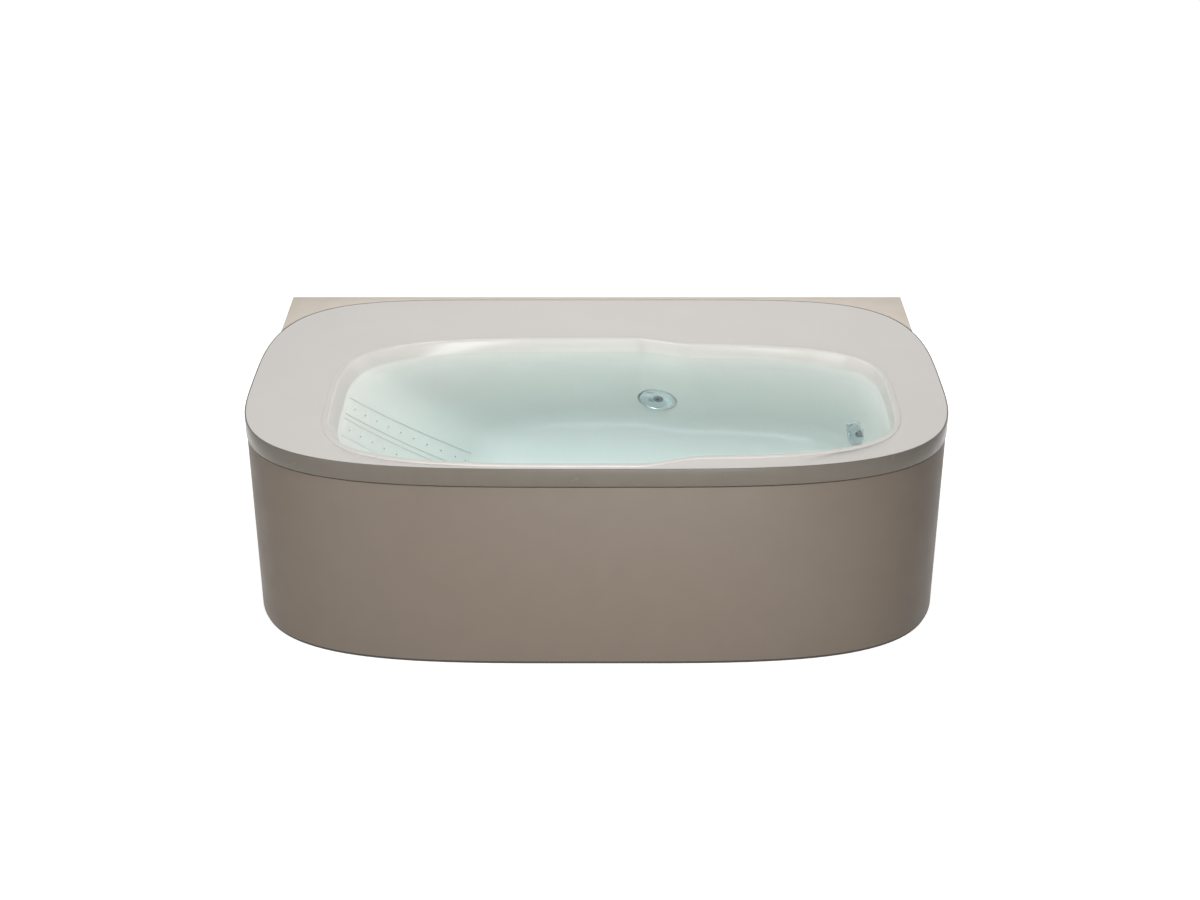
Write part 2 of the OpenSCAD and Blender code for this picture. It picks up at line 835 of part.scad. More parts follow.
module blower_wheel() {
  color([0.55, 0.56, 0.58])
    translate([blower_x, blower_y, blower_z + 10]) {
      translate([0, 0, 9]) difference() {
        cylinder(r = 52, h = 3);
        translate([0, 0, -1]) cylinder(r = 12, h = 1.5);
      }
      for (i = [0:11])
        rotate(30 * i) translate([34, -1, 11.9]) rotate([0, 0, 25]) cube([20, 2, 26]);
      translate([0, 0, 11.9]) cylinder(r = blower_shaft_r, h = 126.6);
      translate([0, 0, 70]) cylinder(r = 34, h = 35);
    }
}

hose_r = 14;
hose_x = -530;
hose_z = blower_z + 50;
hose_y = blower_y - blower_r + 16;
port_k = strip_k(12);
port_lift = channel_lift - channel_h;
// Hose from the blower past the back of both air channels, with a branch to each
module air_hose() {
  color([0.35, 0.36, 0.38]) {
    pipe([[blower_x + 110, hose_y, hose_z], [hose_x, hose_y, hose_z],
      [hose_x, strip_ys[1] - 16, hose_z]], hose_r, 3);
    for (y = strip_ys) {
      port = back_profile(port_k, port_lift - free_gap);
      turn = back_station(port_k)[2];
      bend = [port[0] - 34 * cos(turn), y, port[1] - 34 * sin(turn)];
      pipe([[port[0], y, port[1]], bend, [hose_x + hose_r, y, hose_z + 4]], 10, 2);
    }
  }
}

flange_end = floor_under - 16;
module waste_flange() {
  color(CHROME)
    translate([waste_x, waste_y, 0]) {
      difference() {
        union() {
          translate([0, 0, floor_z + gasket_t]) cylinder(r1 = waste_r, r2 = waste_r - 2, h = 2.5);
          translate([0, 0, flange_end])
            cylinder(r = waste_bore - run_gap, h = floor_z + gasket_t - flange_end);
        }
        translate([0, 0, floor_under - 17]) cylinder(r = waste_bore - 3, h = 40);
      }
      for (a = [0, 90])
        rotate(a)
          difference() {
            translate([-waste_bore + 2, -2, floor_under - 8]) cube([2 * waste_bore - 4, 4, 5]);
            translate([0, 0, floor_under - 12]) cylinder(r = 7, h = 20);
          }
      ring(8, 4 + run_gap, floor_under - 10, floor_under);
    }
}

module waste_seal() {
  color(RUBBER) translate([waste_x, waste_y, 0])
    ring(waste_r - 0.5, waste_bore, floor_z, floor_z + gasket_t);
}

// The stem stays in its guide when the plug is up
stem_l = 13 + plug_lift;
module waste_plug() {
  color(CHROME)
    translate([waste_x, waste_y, floor_z + gasket_t + 2.5 + free_gap]) {
      rotate_extrude()
        polygon([[0, 0], [waste_r - 4, 0], [waste_r - 3, 1.2], [waste_r - 4.5, 2.6],
          [waste_r - 12, 4], [0, 4.8]]);
      translate([0, 0, -basin_t - stem_l]) cylinder(r = 4, h = basin_t + stem_l + 0.1);
    }
}

trap_r = 38;
trap_low = 34;
trap_top = flange_end - 0.5;
module waste_body() {
  color(PIPE_WHITE)
    translate([waste_x, waste_y, 0])
      difference() {
        union() {
          translate([0, 0, trap_low]) cylinder(r = trap_r, h = trap_top - trap_low);
          translate([0, 0, trap_top - 2]) cylinder(r = waste_bore + 6, h = 2 + 8);
        }
        translate([0, 0, trap_low + 4]) cylinder(r = trap_r - 4, h = trap_top - trap_low - 12);
        translate([0, 0, trap_top - 20]) cylinder(r = waste_bore - 2, h = 60);
        translate([0, 0, flange_end - free_gap]) cylinder(r = waste_bore + run_gap, h = 60);
        translate([0, 0, drain_z]) rotate([-90, 0, 0]) cylinder(r = drain_r + run_gap, h = 60);
        translate([0, 0, drain_z]) rotate([90, 0, 0]) cylinder(r = over_pipe_r + run_gap, h = 60);
      }
}

drain_from = waste_y + trap_r - 5;
drain_end = tub_d / 2 - 20;
spigot_l = 40;
collar_w = 8;
// A moulded collar stops the socket of the house's pipe
module drain_pipe() {
  drain_l = drain_end - drain_from;
  color(PIPE_WHITE)
    translate([waste_x, drain_from, drain_z])
      rotate([-90, 0, 0])
        difference() {
          union() {
            cylinder(r = drain_r, h = drain_l);
            translate([0, 0, drain_l - spigot_l - collar_w]) cylinder(r = drain_r + 4, h = collar_w);
          }
          translate([0, 0, -1]) cylinder(r = drain_r - 2.5, h = drain_l + 2);
        }
}

// Flat box behind the wall, with a spigot at its lower end
over_back = -basin_t - 15;
over_t = 13;
over_up = 21;
over_half = 20;
over_drop = 62;
hub_r = 5;
over_pipe_r = 8;
spigot_r = over_pipe_r + 1.5;
spigot_z = -basin_t - 1.5 - spigot_r;
spigot_end = over_drop + 14;
module overflow_body() {
  color(PIPE_WHITE)
    on_wall(OVERFLOW) {
      difference() {
        union() {
          translate([0, 0, over_back + 6]) cylinder(r = small_bore - free_gap, h = 5 - over_back);
          translate([-over_up, -over_half, over_back]) cube([over_drop + over_up, 2 * over_half, over_t]);
          translate([0, 0, 1.4]) cylinder(r = small_bore + 4, h = 2);
          translate([over_drop - 14, 0, spigot_z]) rotate([0, 90, 0]) cylinder(r = spigot_r, h = 28);
        }
        translate([0, 0, over_back + 4]) cylinder(r = small_bore - 4, h = 60);
        translate([-10, -over_half + 4, over_back + 3])
          cube([over_drop + 7, 2 * over_half - 8, over_t - 6]);
        translate([over_drop - 10, 0, spigot_z]) rotate([0, 90, 0]) cylinder(r = over_pipe_r - 2, h = 40);
      }
      difference() {
        union() {
          translate([0, 0, over_back + 2.5]) cylinder(r = hub_r + 3, h = 3.5 - over_back);
          translate([-small_bore + 3, -2, -4]) cube([2 * small_bore - 6, 4, 5]);
        }
        translate([0, 0, over_back + 8]) cylinder(r = hub_r + run_gap, h = 60);
      }
    }
}

module overflow_knob() {
  color(CHROME)
    on_wall(OVERFLOW) {
      difference() {
        rotate_extrude()
          polygon([[0, 4], [over_r - 3, 4], [over_r, 6], [over_r, 13], [over_r - 2, 15.4],
            [over_r - 8, 17], [0, 18]]);
        translate([0, 0, 3]) cylinder(r = over_r - 3, h = 9);
        for (a = [0:45:315])
          rotate(a) translate([over_r - 6, -5, 5]) cube([10, 10, 4]);
      }
      translate([0, 0, over_back + 9]) cylinder(r = hub_r, h = 6 - over_back);
      translate([over_r - 1, -4, 7]) cube([8, 8, 8]);
    }
}

over_start = wall_place(OVERFLOW, [spigot_end + 1.5, 0, spigot_z]);
drain_z = 62;
// Falls between the basin and the skirt, then runs under the frame to the trap
module overflow_pipe() {
  color(PIPE_WHITE)
    pipe([over_start, [over_start[0], open_y - open_b + 12, 400],
      [over_start[0], open_y - open_b + 20, drain_z],
      [waste_x, waste_y - trap_r - 230, drain_z],
      [waste_x, waste_y - trap_r + 3, drain_z]], over_pipe_r, 2);
}

suction_pipe_r = 17;
suction_back = -20;
module suction_grille() {
  color(CHROME)
    on_wall(SUCTION)
      difference() {
        union() {
          rotate_extrude()
            polygon([[0, rosette_z + 3], [46, rosette_z + 3], [46, rosette_z - 2],
              [suction_r - 1, rosette_z - 2],
              [suction_r, rosette_z], [suction_r - 1, rosette_z + 3], [suction_r - 6, rosette_z + 6],
              [0, rosette_z + 8]]);
        }
        for (a = [0:30:330])
          rotate(a) {
            translate([14, -2, 0]) cube([24, 4, 30]);
            rotate(15) translate([27, -1.8, 0]) cube([13, 3.6, 30]);
          }
      }
}

module suction_body() {
  color(PIPE_WHITE)
    on_wall(SUCTION)
      difference() {
        union() {
          translate([0, 0, suction_back])
            cylinder(r = suction_bore - free_gap, h = seat_up + gasket_t - suction_back);
          translate([0, 0, seat_up + gasket_t])
            cylinder(r = 45.5, h = rosette_z + 3 - seat_up - gasket_t - 0.2);
        }
        translate([0, 0, suction_back + 4]) cylinder(r = suction_bore - 5, h = 80);
        translate([0, 0, suction_back - 1]) cylinder(r = suction_pipe_r - 4, h = 10);
      }
}

// Pump under the backrest, with its shaft along X
pump_x = -580;
pump_y = -300;
plate_t = 4;
pump_r = 78;
motor_r = 60;
volute_w = 62;
motor_l = 150;
plate_x = pump_x - volute_w - motor_l - 20;
plate_l = 230;
pump_z = base_z + plate_t + pump_r + 4;
suction_start = wall_place(SUCTION, [0, 0, suction_back - 0.1]);
suction_turn = wall_place(SUCTION, [0, 0, suction_back - elbow_reach(suction_pipe_r) - 2]);
module suction_pipe() {
  color(PIPE_WHITE)
    pipe([suction_start, suction_turn, [-420, -490, pump_z + 12], [-480, -400, pump_z],
      [-480, pump_y, pump_z],
      [pump_x + 24, pump_y, pump_z]], suction_pipe_r, 3);
}

outlet_y = pump_y + 54;
jet_pipe_r = 16;
outlet_z = pump_z + pump_r + 12;
module pump_volute() {
  color([0.22, 0.23, 0.25])
    difference() {
      union() {
        translate([pump_x - volute_w, pump_y, pump_z]) rotate([0, 90, 0])
          cylinder(r = pump_r, h = volute_w);
        translate([pump_x, pump_y, pump_z]) rotate([0, 90, 0]) cylinder(r = suction_pipe_r + 6, h = 23.5);
        translate([pump_x - volute_w / 2, outlet_y, pump_z])
          cylinder(r = jet_pipe_r + 4, h = outlet_z - pump_z);
        translate([pump_x - volute_w + 6, pump_y - 50, pump_z - pump_r - 4]) cube([volute_w - 12, 100, 24]);
      }
      translate([pump_x - volute_w + 8, pump_y, pump_z]) rotate([0, 90, 0])
        cylinder(r = pump_r - 8, h = volute_w - 16);
      translate([pump_x - volute_w + 10, pump_y, pump_z]) rotate([0, 90, 0])
        cylinder(r = suction_pipe_r - 3, h = 120);
      translate([pump_x - volute_w - 1, pump_y, pump_z]) rotate([0, 90, 0])
        cylinder(r = 9 + run_gap, h = 20);
      translate([pump_x - volute_w / 2, outlet_y, pump_z + 8]) cylinder(r = jet_pipe_r - 3, h = 200);
    }
}

// Shaft, impeller, rotor core and cooling fan turn as one
module pump_rotor() {
  color([0.72, 0.60, 0.30])
    translate([pump_x - volute_w, pump_y, pump_z]) rotate([0, 90, 0]) {
      translate([0, 0, -motor_l - 8]) cylinder(r = 9, h = motor_l + 8 + volute_w - 16);
      translate([0, 0, 14]) cylinder(r = 56, h = 4);
      for (i = [0:5]) rotate(60 * i) translate([16, -2, 17.9]) rotate([0, 0, 28]) cube([36, 4, 18]);
      translate([0, 0, -motor_l + 40]) cylinder(r = 34, h = motor_l - 80);
      for (i = [0:4]) rotate(72 * i) translate([8, -1.5, -motor_l - 4]) cube([36, 3, 16]);
    }
}

module pump_motor() {
  color([0.30, 0.34, 0.40])
    translate([pump_x - volute_w - 0.3, pump_y, pump_z]) {
      rotate([0, -90, 0])
        difference() {
          union() {
            cylinder(r = motor_r, h = motor_l + 18);
            for (i = [0:11]) rotate(30 * i) translate([motor_r - 2, -1.5, 18]) cube([7, 3, motor_l - 46]);
          }
          translate([0, 0, 8]) cylinder(r = 38, h = motor_l - 34);
          translate([0, 0, -1]) cylinder(r = 9 + run_gap, h = motor_l + 8);
          translate([0, 0, motor_l - 18]) cylinder(r = 50, h = 30);
          for (x = [-40:16:40]) translate([x - 3, -34, motor_l + 8]) cube([6, 68, 20]);
        }
      translate([-120, -35, motor_r - 4]) cube([80, 70, 34]);
      for (x = [-150, -50]) translate([x, -48, -pump_r - 4]) cube([24, 96, pump_r - motor_r + 16]);
    }
}

module pump_base() {
  color(ZINC)
    difference() {
      translate([plate_x, frame_y - rail_y, base_z]) cube([plate_l, 2 * rail_y, plate_t]);
      for (x = [plate_x + 20, plate_x + plate_l - 20], y = [frame_y - rail_y + 12, frame_y + rail_y - 12])
        translate([x, y, base_z - 1]) cylinder(r = 3.3, h = plate_t + 2);
    }
}

// Ring main from the pump past the back of every jet, with a tee on each jet's barb
tap_reach = housing_l + barb_l + elbow_reach(jet_pipe_r) + joint_gap;
function jet_tap(i) = wall_place(JETS[i], [0, 0, -tap_reach]);
function jet_barb(i) = wall_place(JETS[i], [0, 0, -housing_l]);
riser_x = pump_x - volute_w / 2;
riser_z = outlet_z + 30;
main_z = jet_tap(0)[2];
main_y = jet_tap(0)[1] + 20;
main_points = [[riser_x, outlet_y, outlet_z + joint_gap], [riser_x, outlet_y, riser_z],
  [riser_x, main_y, riser_z],
  [riser_x + 60, main_y, main_z], jet_tap(0), [690, 250, main_z], jet_tap(2), jet_tap(3),
  [715, -430, main_z], jet_tap(1)];
main_t = 2.5;
module jet_pipes() {
  color(PIPE_WHITE)
    for (i = [0:len(main_points) - 2])
      straight_tube(main_points[i], main_points[i + 1], jet_pipe_r, main_t, i > 0, true);
}

TAP_POINTS = [4, 9, 6, 7];
module jet_fittings() {
  color(PIPE_WHITE)
    for (i = [1:len(main_points) - 1])
      let (on = i + 1 < len(main_points) ? [main_points[i + 1]] : [])
        let (taps = [for (j = [0:JET_COUNT - 1]) if (TAP_POINTS[j] == i) jet_barb(j)])
          elbow(main_points[i], concat([main_points[i - 1]], on, taps), jet_pipe_r, main_t);
}

button_travel = 3;
button_floor = 1.8;
button_rest = button_floor + button_travel + 0.4;
module button_socket() {
  color(CHROME)
    on_wall(BUTTON)
      difference() {
        union() {
          rotate_extrude()
            polygon([[0, 0.8], [button_r, 0.8], [button_r, 3.5], [button_r - 1.5, 5.5], [0, 5.5]]);
          translate([0, 0, -basin_t - 10]) cylinder(r = 9.2, h = basin_t + 11);
        }
        translate([0, 0, button_floor]) cylinder(r = 12 + free_gap, h = 10);
        translate([0, 0, -basin_t - 5]) cylinder(r = 5 + run_gap, h = 30);
      }
}

module start_button() {
  color([0.86, 0.87, 0.88])
    on_wall(BUTTON) {
      rotate_extrude()
        polygon([[0, button_rest], [12, button_rest], [12, button_rest + 2.4], [11, button_rest + 3.6],
          [7, button_rest + 3.2], [0, button_rest + 2.8]]);
      translate([0, 0, -basin_t - 1]) cylinder(r = 5, h = basin_t + 1 + button_rest + 0.3);
    }
}

box_x = 450;
box_w = 260;
box_z = 250;
box_y = back_post_y - 85;
module control_box() {
  color([0.82, 0.82, 0.80]) {
    difference() {
      translate([box_x, box_y, box_z]) cube([box_w, 80, 180]);
      translate([box_x + 3, box_y + 3, box_z + 3]) cube([box_w - 6, 74, 174]);
      translate([box_x + 50, box_y + 40, box_z - 1]) cylinder(r = 10.1, h = 6);
    }
    translate([box_x + 20, box_y + 80, box_z + 20]) cube([box_w - 40, 4.7, post_top - 60 - box_z - 20]);
  }
}

module power_gland() {
  color(RUBBER)
    translate([box_x + 50, box_y + 40, box_z])
      difference() {
        union() {
          translate([0, 0, -8]) cylinder(r = 14, h = 8, $fn = 6);
          translate([0, 0, -22]) cylinder(r1 = 9, r2 = 12, h = 14);
          cylinder(r = 10, h = 12);
        }
        translate([0, 0, -30]) cylinder(r = 5, h = 60);
      }
}

basin();
lip_seal();
deck_top();
deck_core();
edge_band();
front_skirt();
plinth();
infill_top();
infill_side_left();
infill_side_right();
wall_rail();
base_board();
base_frame();
deck_posts();
skirt_brackets();
frame_screws();
levelling_studs();
lock_nuts();
foot_pads();
jet_rosette_back();
jet_rosette_front();
jet_rosette_foot_back();
jet_rosette_foot_front();
jet_ball_back();
jet_ball_front();
jet_ball_foot_back();
jet_ball_foot_front();
jet_housings();
jet_gaskets();
jet_nuts();
air_strip_back();
air_strip_front();
air_channels();
air_hose();
blower_case();
blower_wheel();
waste_flange();
waste_seal();
waste_plug();
waste_body();
drain_pipe();
overflow_body();
overflow_knob();
overflow_pipe();
suction_grille();
suction_body();
suction_pipe();
pump_volute();
pump_rotor();
pump_motor();
pump_base();
jet_pipes();
jet_fittings();
start_button();
button_socket();
control_box();
power_gland();
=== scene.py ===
"""Looks of a back-to-wall jetted bathtub: finishes, water, smooth skins and studio.

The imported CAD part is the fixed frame. Curved skins that the frame holds as facets
are modelled again here with finer rings, and every other node gets its real finish.
"""

import json
import logging
import math
from dataclasses import dataclass
from enum import Enum
from typing import Callable, Iterable, Optional, Sequence

import bmesh
import bpy
from mathutils import Matrix, Vector


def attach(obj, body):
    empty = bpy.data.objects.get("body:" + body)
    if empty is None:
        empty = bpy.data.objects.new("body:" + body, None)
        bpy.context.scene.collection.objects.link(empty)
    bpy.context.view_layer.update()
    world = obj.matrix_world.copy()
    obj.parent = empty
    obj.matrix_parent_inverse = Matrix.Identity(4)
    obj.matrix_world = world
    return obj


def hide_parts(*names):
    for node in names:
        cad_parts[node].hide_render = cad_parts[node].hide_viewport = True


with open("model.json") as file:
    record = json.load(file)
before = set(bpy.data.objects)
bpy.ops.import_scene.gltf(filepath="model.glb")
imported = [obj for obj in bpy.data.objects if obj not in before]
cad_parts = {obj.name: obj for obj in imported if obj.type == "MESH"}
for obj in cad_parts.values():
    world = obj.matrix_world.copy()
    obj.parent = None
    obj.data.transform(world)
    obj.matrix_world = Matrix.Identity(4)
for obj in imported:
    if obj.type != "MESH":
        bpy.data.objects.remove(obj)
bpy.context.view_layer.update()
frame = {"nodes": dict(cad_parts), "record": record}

LOG = logging.getLogger("bathtub")
Piece = bpy.types.Object
Tree = bpy.types.NodeTree
Ring = list[Vector]
Point = tuple[float, float, float]
MM = 0.001


# --- colour and nodes


def linear(hex_colour: str) -> tuple[float, float, float, float]:
    """Turns an sRGB hex colour of six digits to the linear values that shaders take."""
    parts = [int(hex_colour[i:i + 2], 16) / 255 for i in (0, 2, 4)]
    red, green, blue = (c / 12.92 if c <= 0.04045 else ((c + 0.055) / 1.055) ** 2.4 for c in parts)
    return red, green, blue, 1.0


def add(
    tree: Tree, kind: str, settings: Optional[dict] = None, **links: bpy.types.Node | bpy.types.NodeSocket
) -> bpy.types.Node:
    """Adds one node to a tree.

    Args:
        tree: Node tree of a material or a world.
        kind: Node type, such as "ShaderNodeTexNoise".
        settings: Attributes by name, and socket values by socket name or number.
        **links: Output sockets, or nodes for their first output, by input name with spaces as
            underscores, or by n and input number.

    Returns:
        The new node.
    """
    node = tree.nodes.new(kind)
    for name, value in (settings or {}).items():
        if isinstance(name, str) and hasattr(node, name):
            setattr(node, name, value)
        else:
            node.inputs[name].default_value = value
    for name, source in links.items():
        key = int(name[1:]) if name[0] == "n" and name[1:].isdigit() else name.replace("_", " ")
        first = source.outputs[0] if isinstance(source, bpy.types.Node) else source
        tree.links.new(first, node.inputs[key])
    return node


def background_rays(tree: Tree) -> bpy.types.NodeSocket:
    """Adds the test for rays that show the white background: seen, mirrored or through water.

    Rays that have met a matt surface are left out, so the background never lights the object.

    Args:
        tree: Node tree of a material or a world.

    Returns:
        Socket that is 1 for those rays and 0 for all others.
    """
    ray = add(tree, "ShaderNodeLightPath")
    seen = add(
        tree, "ShaderNodeMath", {"operation": "MAXIMUM"}, n0=ray.outputs["Is Camera Ray"],
        n1=ray.outputs["Is Glossy Ray"],
    )
    through = add(
        tree, "ShaderNodeMath", {"operation": "MAXIMUM"}, n0=seen,
        n1=ray.outputs["Is Transmission Ray"],
    )
    matt = add(tree, "ShaderNodeMath", {"operation": "LESS_THAN", 1: 0.5}, n0=ray.outputs["Diffuse Depth"])
    plain = add(tree, "ShaderNodeMath", {"operation": "MULTIPLY"}, n0=through, n1=matt)
    return plain.outputs["Value"]


# --- finishes

# bands that a wave texture draws over one unit at a scale of 1
WAVES = 20


@dataclass(frozen=True)
class Surface:
    """A material that is built once, under the name of its real substance and process.

    Attributes:
        title: Real material and how its surface was made.
    """

    title: str

    def build(self) -> bpy.types.Material:
        """Makes the material, once, and returns it."""
        known = bpy.data.materials.get(self.title)
        if known is not None:
            return known
        material = bpy.data.materials.new(self.title)
        material.use_nodes = True
        material.node_tree.nodes.clear()
        self.paint(material.node_tree)
        return material

    def paint(self, tree: Tree) -> None:
        """Adds the material's nodes to an empty tree."""
        raise NotImplementedError

    def shade(
        self, tree: Tree, colours: tuple[str, str], share: bpy.types.Node, settings: dict,
        **links: bpy.types.Node,
    ) -> None:
        """Adds the mix of two colours and the shader that a solid's nodes end with.

        Args:
            tree: Node tree of the material.
            colours: Both sRGB colours.
            share: Node that says how much of the second colour there is.
            settings: Socket values of the shader.
            **links: Nodes of its other inputs.
        """
        first, second = map(linear, colours)
        mix = add(tree, "ShaderNodeMix", {"data_type": "RGBA", 6: first, 7: second}, n0=share)
        shader = add(tree, "ShaderNodeBsdfPrincipled", settings, Base_Color=mix.outputs[2], **links)
        add(tree, "ShaderNodeOutputMaterial", Surface=shader)


@dataclass(frozen=True)
class Finish(Surface):
    """A plastic, lacquer or metal surface with a patterned colour, gloss and relief.

    Attributes:
        colour: Main sRGB colour.
        second: sRGB colour that the pattern drifts to.
        roughness: Lowest and highest roughness over the surface.
        grain_mm: Size of the colour pattern.
        relief_mm: Spacing of the relief.
        relief: Height of the relief, in millimetres.
        metallic: 1 for bare metal, 0 for the rest.
        ior: Index of refraction, left at the default on metals.
        spangle: True for the crystal pattern of hot-dip zinc.
        stretch: Scale of the pattern along X, Y and Z, for brushed and sawn surfaces.
    """

    colour: str
    second: str
    roughness: tuple[float, float] = (0.3, 0.4)
    grain_mm: float = 30.0
    relief_mm: float = 2.0
    relief: float = 0.02
    metallic: float = 0.0
    ior: float = 1.5
    spangle: bool = False
    stretch: Point = (1.0, 1.0, 1.0)

    def paint(self, tree: Tree) -> None:
        """Adds the pattern, the relief and the shader."""
        place = add(tree, "ShaderNodeTexCoord")
        where = add(tree, "ShaderNodeMapping", {"Scale": self.stretch}, Vector=place.outputs["Object"])
        if self.spangle:
            kind, pattern = "ShaderNodeTexVoronoi", {"feature": "SMOOTH_F1"}
        else:
            kind, pattern = "ShaderNodeTexNoise", {"Detail": 4.0}
        amount = add(tree, kind, {"Scale": 1000 / self.grain_mm, **pattern}, Vector=where)
        middle = {"From Min": 0.3, "From Max": 0.7}
        spread = add(tree, "ShaderNodeMapRange", middle, Value=amount)
        ends = {"To Min": self.roughness[0], "To Max": self.roughness[1]}
        gloss = add(tree, "ShaderNodeMapRange", {**middle, **ends}, Value=amount)
        skin = add(tree, "ShaderNodeTexNoise", {"Scale": 1000 / self.relief_mm, "Detail": 3.0}, Vector=where)
        height = {"Strength": 1.0, "Distance": self.relief * MM}
        bump = add(tree, "ShaderNodeBump", height, Height=skin)
        settings = {"Metallic": self.metallic}
        if not self.metallic:
            settings["IOR"] = self.ior
        self.shade(tree, (self.colour, self.second), spread, settings, Roughness=gloss, Normal=bump)


@dataclass(frozen=True)
class Plywood(Surface):
    """Birch plywood, rotary cut: pale wood with long grain and thin darker plies on its edges."""

    title: str = "birch plywood, rotary cut"
    pale: str = "C9A878"
    dark: str = "A17F52"
    grain_mm: float = 9.0
    ply_mm: float = 3.0
    ply_share: float = 0.35
    ior: float = 1.45

    def paint(self, tree: Tree) -> None:
        """Adds the pattern, the relief and the shader."""
        place = add(tree, "ShaderNodeTexCoord")
        along = add(tree, "ShaderNodeMapping", {"Scale": (0.12, 1.0, 1.0)}, Vector=place.outputs["Object"])
        grain = add(
            tree, "ShaderNodeTexNoise", {"Scale": 1000 / self.grain_mm, "Detail": 6.0, "Distortion": 0.6},
            Vector=along,
        )
        plies = add(
            tree, "ShaderNodeTexWave",
            {"bands_direction": "Z", "Scale": 1000 / self.ply_mm / WAVES, "Distortion": 0.4, "Detail": 1.0},
            Vector=place.outputs["Object"],
        )
        added = {"operation": "MULTIPLY_ADD", 1: self.ply_share}
        both = add(tree, "ShaderNodeMath", added, n0=plies.outputs["Fac"], n2=grain)
        spread = add(tree, "ShaderNodeMapRange", {"From Min": 0.35, "From Max": 0.95}, Value=both)
        bump = add(tree, "ShaderNodeBump", {"Strength": 0.6, "Distance": 0.2 * MM}, Height=grain)
        gloss = add(tree, "ShaderNodeMapRange", {"To Min": 0.55, "To Max": 0.75}, Value=grain)
        self.shade(tree, (self.pale, self.dark), spread, {"IOR": self.ior}, Roughness=gloss, Normal=bump)


@dataclass(frozen=True)
class BathWater(Surface):
    """Still bath water: clear, a little turquoise through its depth, with a faint slow ripple.

    Attributes:
        surface: sRGB colour of the light that its surface lets in.
        tint: sRGB colour that its depth gives, at the density.
        density: How soon the tint builds up, per metre.
        shadow: sRGB colour of the light in its shadow.
        ripple_mm: Length of the ripple.
        ripple_height_mm: Its height.
        ior: Index of refraction.
    """

    title: str = "bath water, still"
    surface: str = "EFF0F1"
    tint: str = "D6F1F4"
    density: float = 1.0
    shadow: str = "F4FBFA"
    ripple_mm: float = 160.0
    ripple_height_mm: float = 0.5
    ior: float = 1.333

    def paint(self, tree: Tree) -> None:
        """Adds the pattern, the relief and the shader."""
        place = add(tree, "ShaderNodeTexCoord")
        ripple = add(
            tree, "ShaderNodeTexNoise", {"Scale": 1000 / self.ripple_mm, "Detail": 2.0},
            Vector=place.outputs["Object"],
        )
        height = {"Strength": 1.0, "Distance": self.ripple_height_mm * MM}
        bump = add(tree, "ShaderNodeBump", height, Height=ripple)
        clear_body = {
            "Base Color": linear(self.surface), "Roughness": 0.0, "IOR": self.ior, "Transmission Weight": 1.0,
        }
        glass = add(tree, "ShaderNodeBsdfPrincipled", clear_body, Normal=bump)
        clear = add(tree, "ShaderNodeBsdfTransparent", {"Color": linear(self.shadow)})
        ray = add(tree, "ShaderNodeLightPath")
        both = add(tree, "ShaderNodeMixShader", n0=ray.outputs["Is Shadow Ray"], n1=glass, n2=clear)
        depth = add(tree, "ShaderNodeVolumeAbsorption", {"Color": linear(self.tint), "Density": self.density})
        add(tree, "ShaderNodeOutputMaterial", Surface=both, Volume=depth)


@dataclass(frozen=True)
class StudioFloor(Surface):
    """Seamless studio paper: white to the camera, with the object's soft shadow.

    Attributes:
        colour: sRGB colour of the paper.
        near: Strength of the white close to the object, where the lamps make up the rest.
        reach: Distances from the object over which that strength grows to 1, in metres.
    """

    title: str = "studio paper, matt white"
    colour: str = "CFCDC9"
    near: float = 0.86
    reach: tuple[float, float] = (1.2, 2.0)

    def paint(self, tree: Tree) -> None:
        """Adds the pattern, the relief and the shader."""
        place = add(tree, "ShaderNodeTexCoord")
        fibres = {"Scale": 60.0, "Detail": 3.0}
        tooth = add(tree, "ShaderNodeTexNoise", fibres, Vector=place.outputs["Object"])
        bump = add(tree, "ShaderNodeBump", {"Strength": 0.1, "Distance": 0.001}, Height=tooth)
        shader = add(
            tree, "ShaderNodeBsdfPrincipled", {"Base Color": linear(self.colour), "Roughness": 0.9},
            Normal=bump,
        )
        far = add(tree, "ShaderNodeVectorMath", {"operation": "LENGTH"}, n0=place.outputs["Object"])
        level = add(
            tree, "ShaderNodeMapRange",
            {"From Min": self.reach[0], "From Max": self.reach[1], "To Min": self.near, "To Max": 1.0},
            Value=far.outputs["Value"],
        )
        white = add(tree, "ShaderNodeEmission", {"Color": linear("FFFFFF")}, Strength=level)
        lit = add(tree, "ShaderNodeAddShader", n0=shader, n1=white)
        both = add(tree, "ShaderNodeMixShader", n0=background_rays(tree), n1=shader, n2=lit)
        add(tree, "ShaderNodeOutputMaterial", Surface=both)


# vacuum-formed sheet: deep gloss with a slow waviness
ACRYLIC = Finish(
    "sanitary acrylic, vacuum formed", "EFEAE4", "EDE8E2", roughness=(0.16, 0.2), grain_mm=90, relief_mm=25,
    relief=0.02, ior=1.49,
)
# poured and polished: gloss with a faint cloud in the grey
DECK_GREY = Finish(
    "gelcoat on cast deck, polished", "DFDBD6", "DCD8D3", roughness=(0.16, 0.24), grain_mm=140,
    relief_mm=40, relief=0.03, ior=1.5,
)
# sprayed in a mould: gloss, darker than the skirt
BAND_TAUPE = Finish(
    "gelcoat edge band, moulded gloss", "746E65", "706A61", roughness=(0.2, 0.28), grain_mm=60,
    relief_mm=12, relief=0.02, ior=1.36,
)
# sprayed lacquer: satin with a fine orange peel
SKIRT_TAUPE = Finish(
    "satin lacquer on moulded panel, sprayed", "7E7368", "7C7166", roughness=(0.42, 0.48), grain_mm=70,
    relief_mm=2.5, relief=0.02, ior=1.32,
)
# pressed laminate: dull and nearly black, so the skirt seems to float above it
PLINTH_DARK = Finish(
    "dark laminate, pressed", "3A3632", "35322E", roughness=(0.5, 0.6), grain_mm=12, relief_mm=1.2,
    relief=0.03,
)
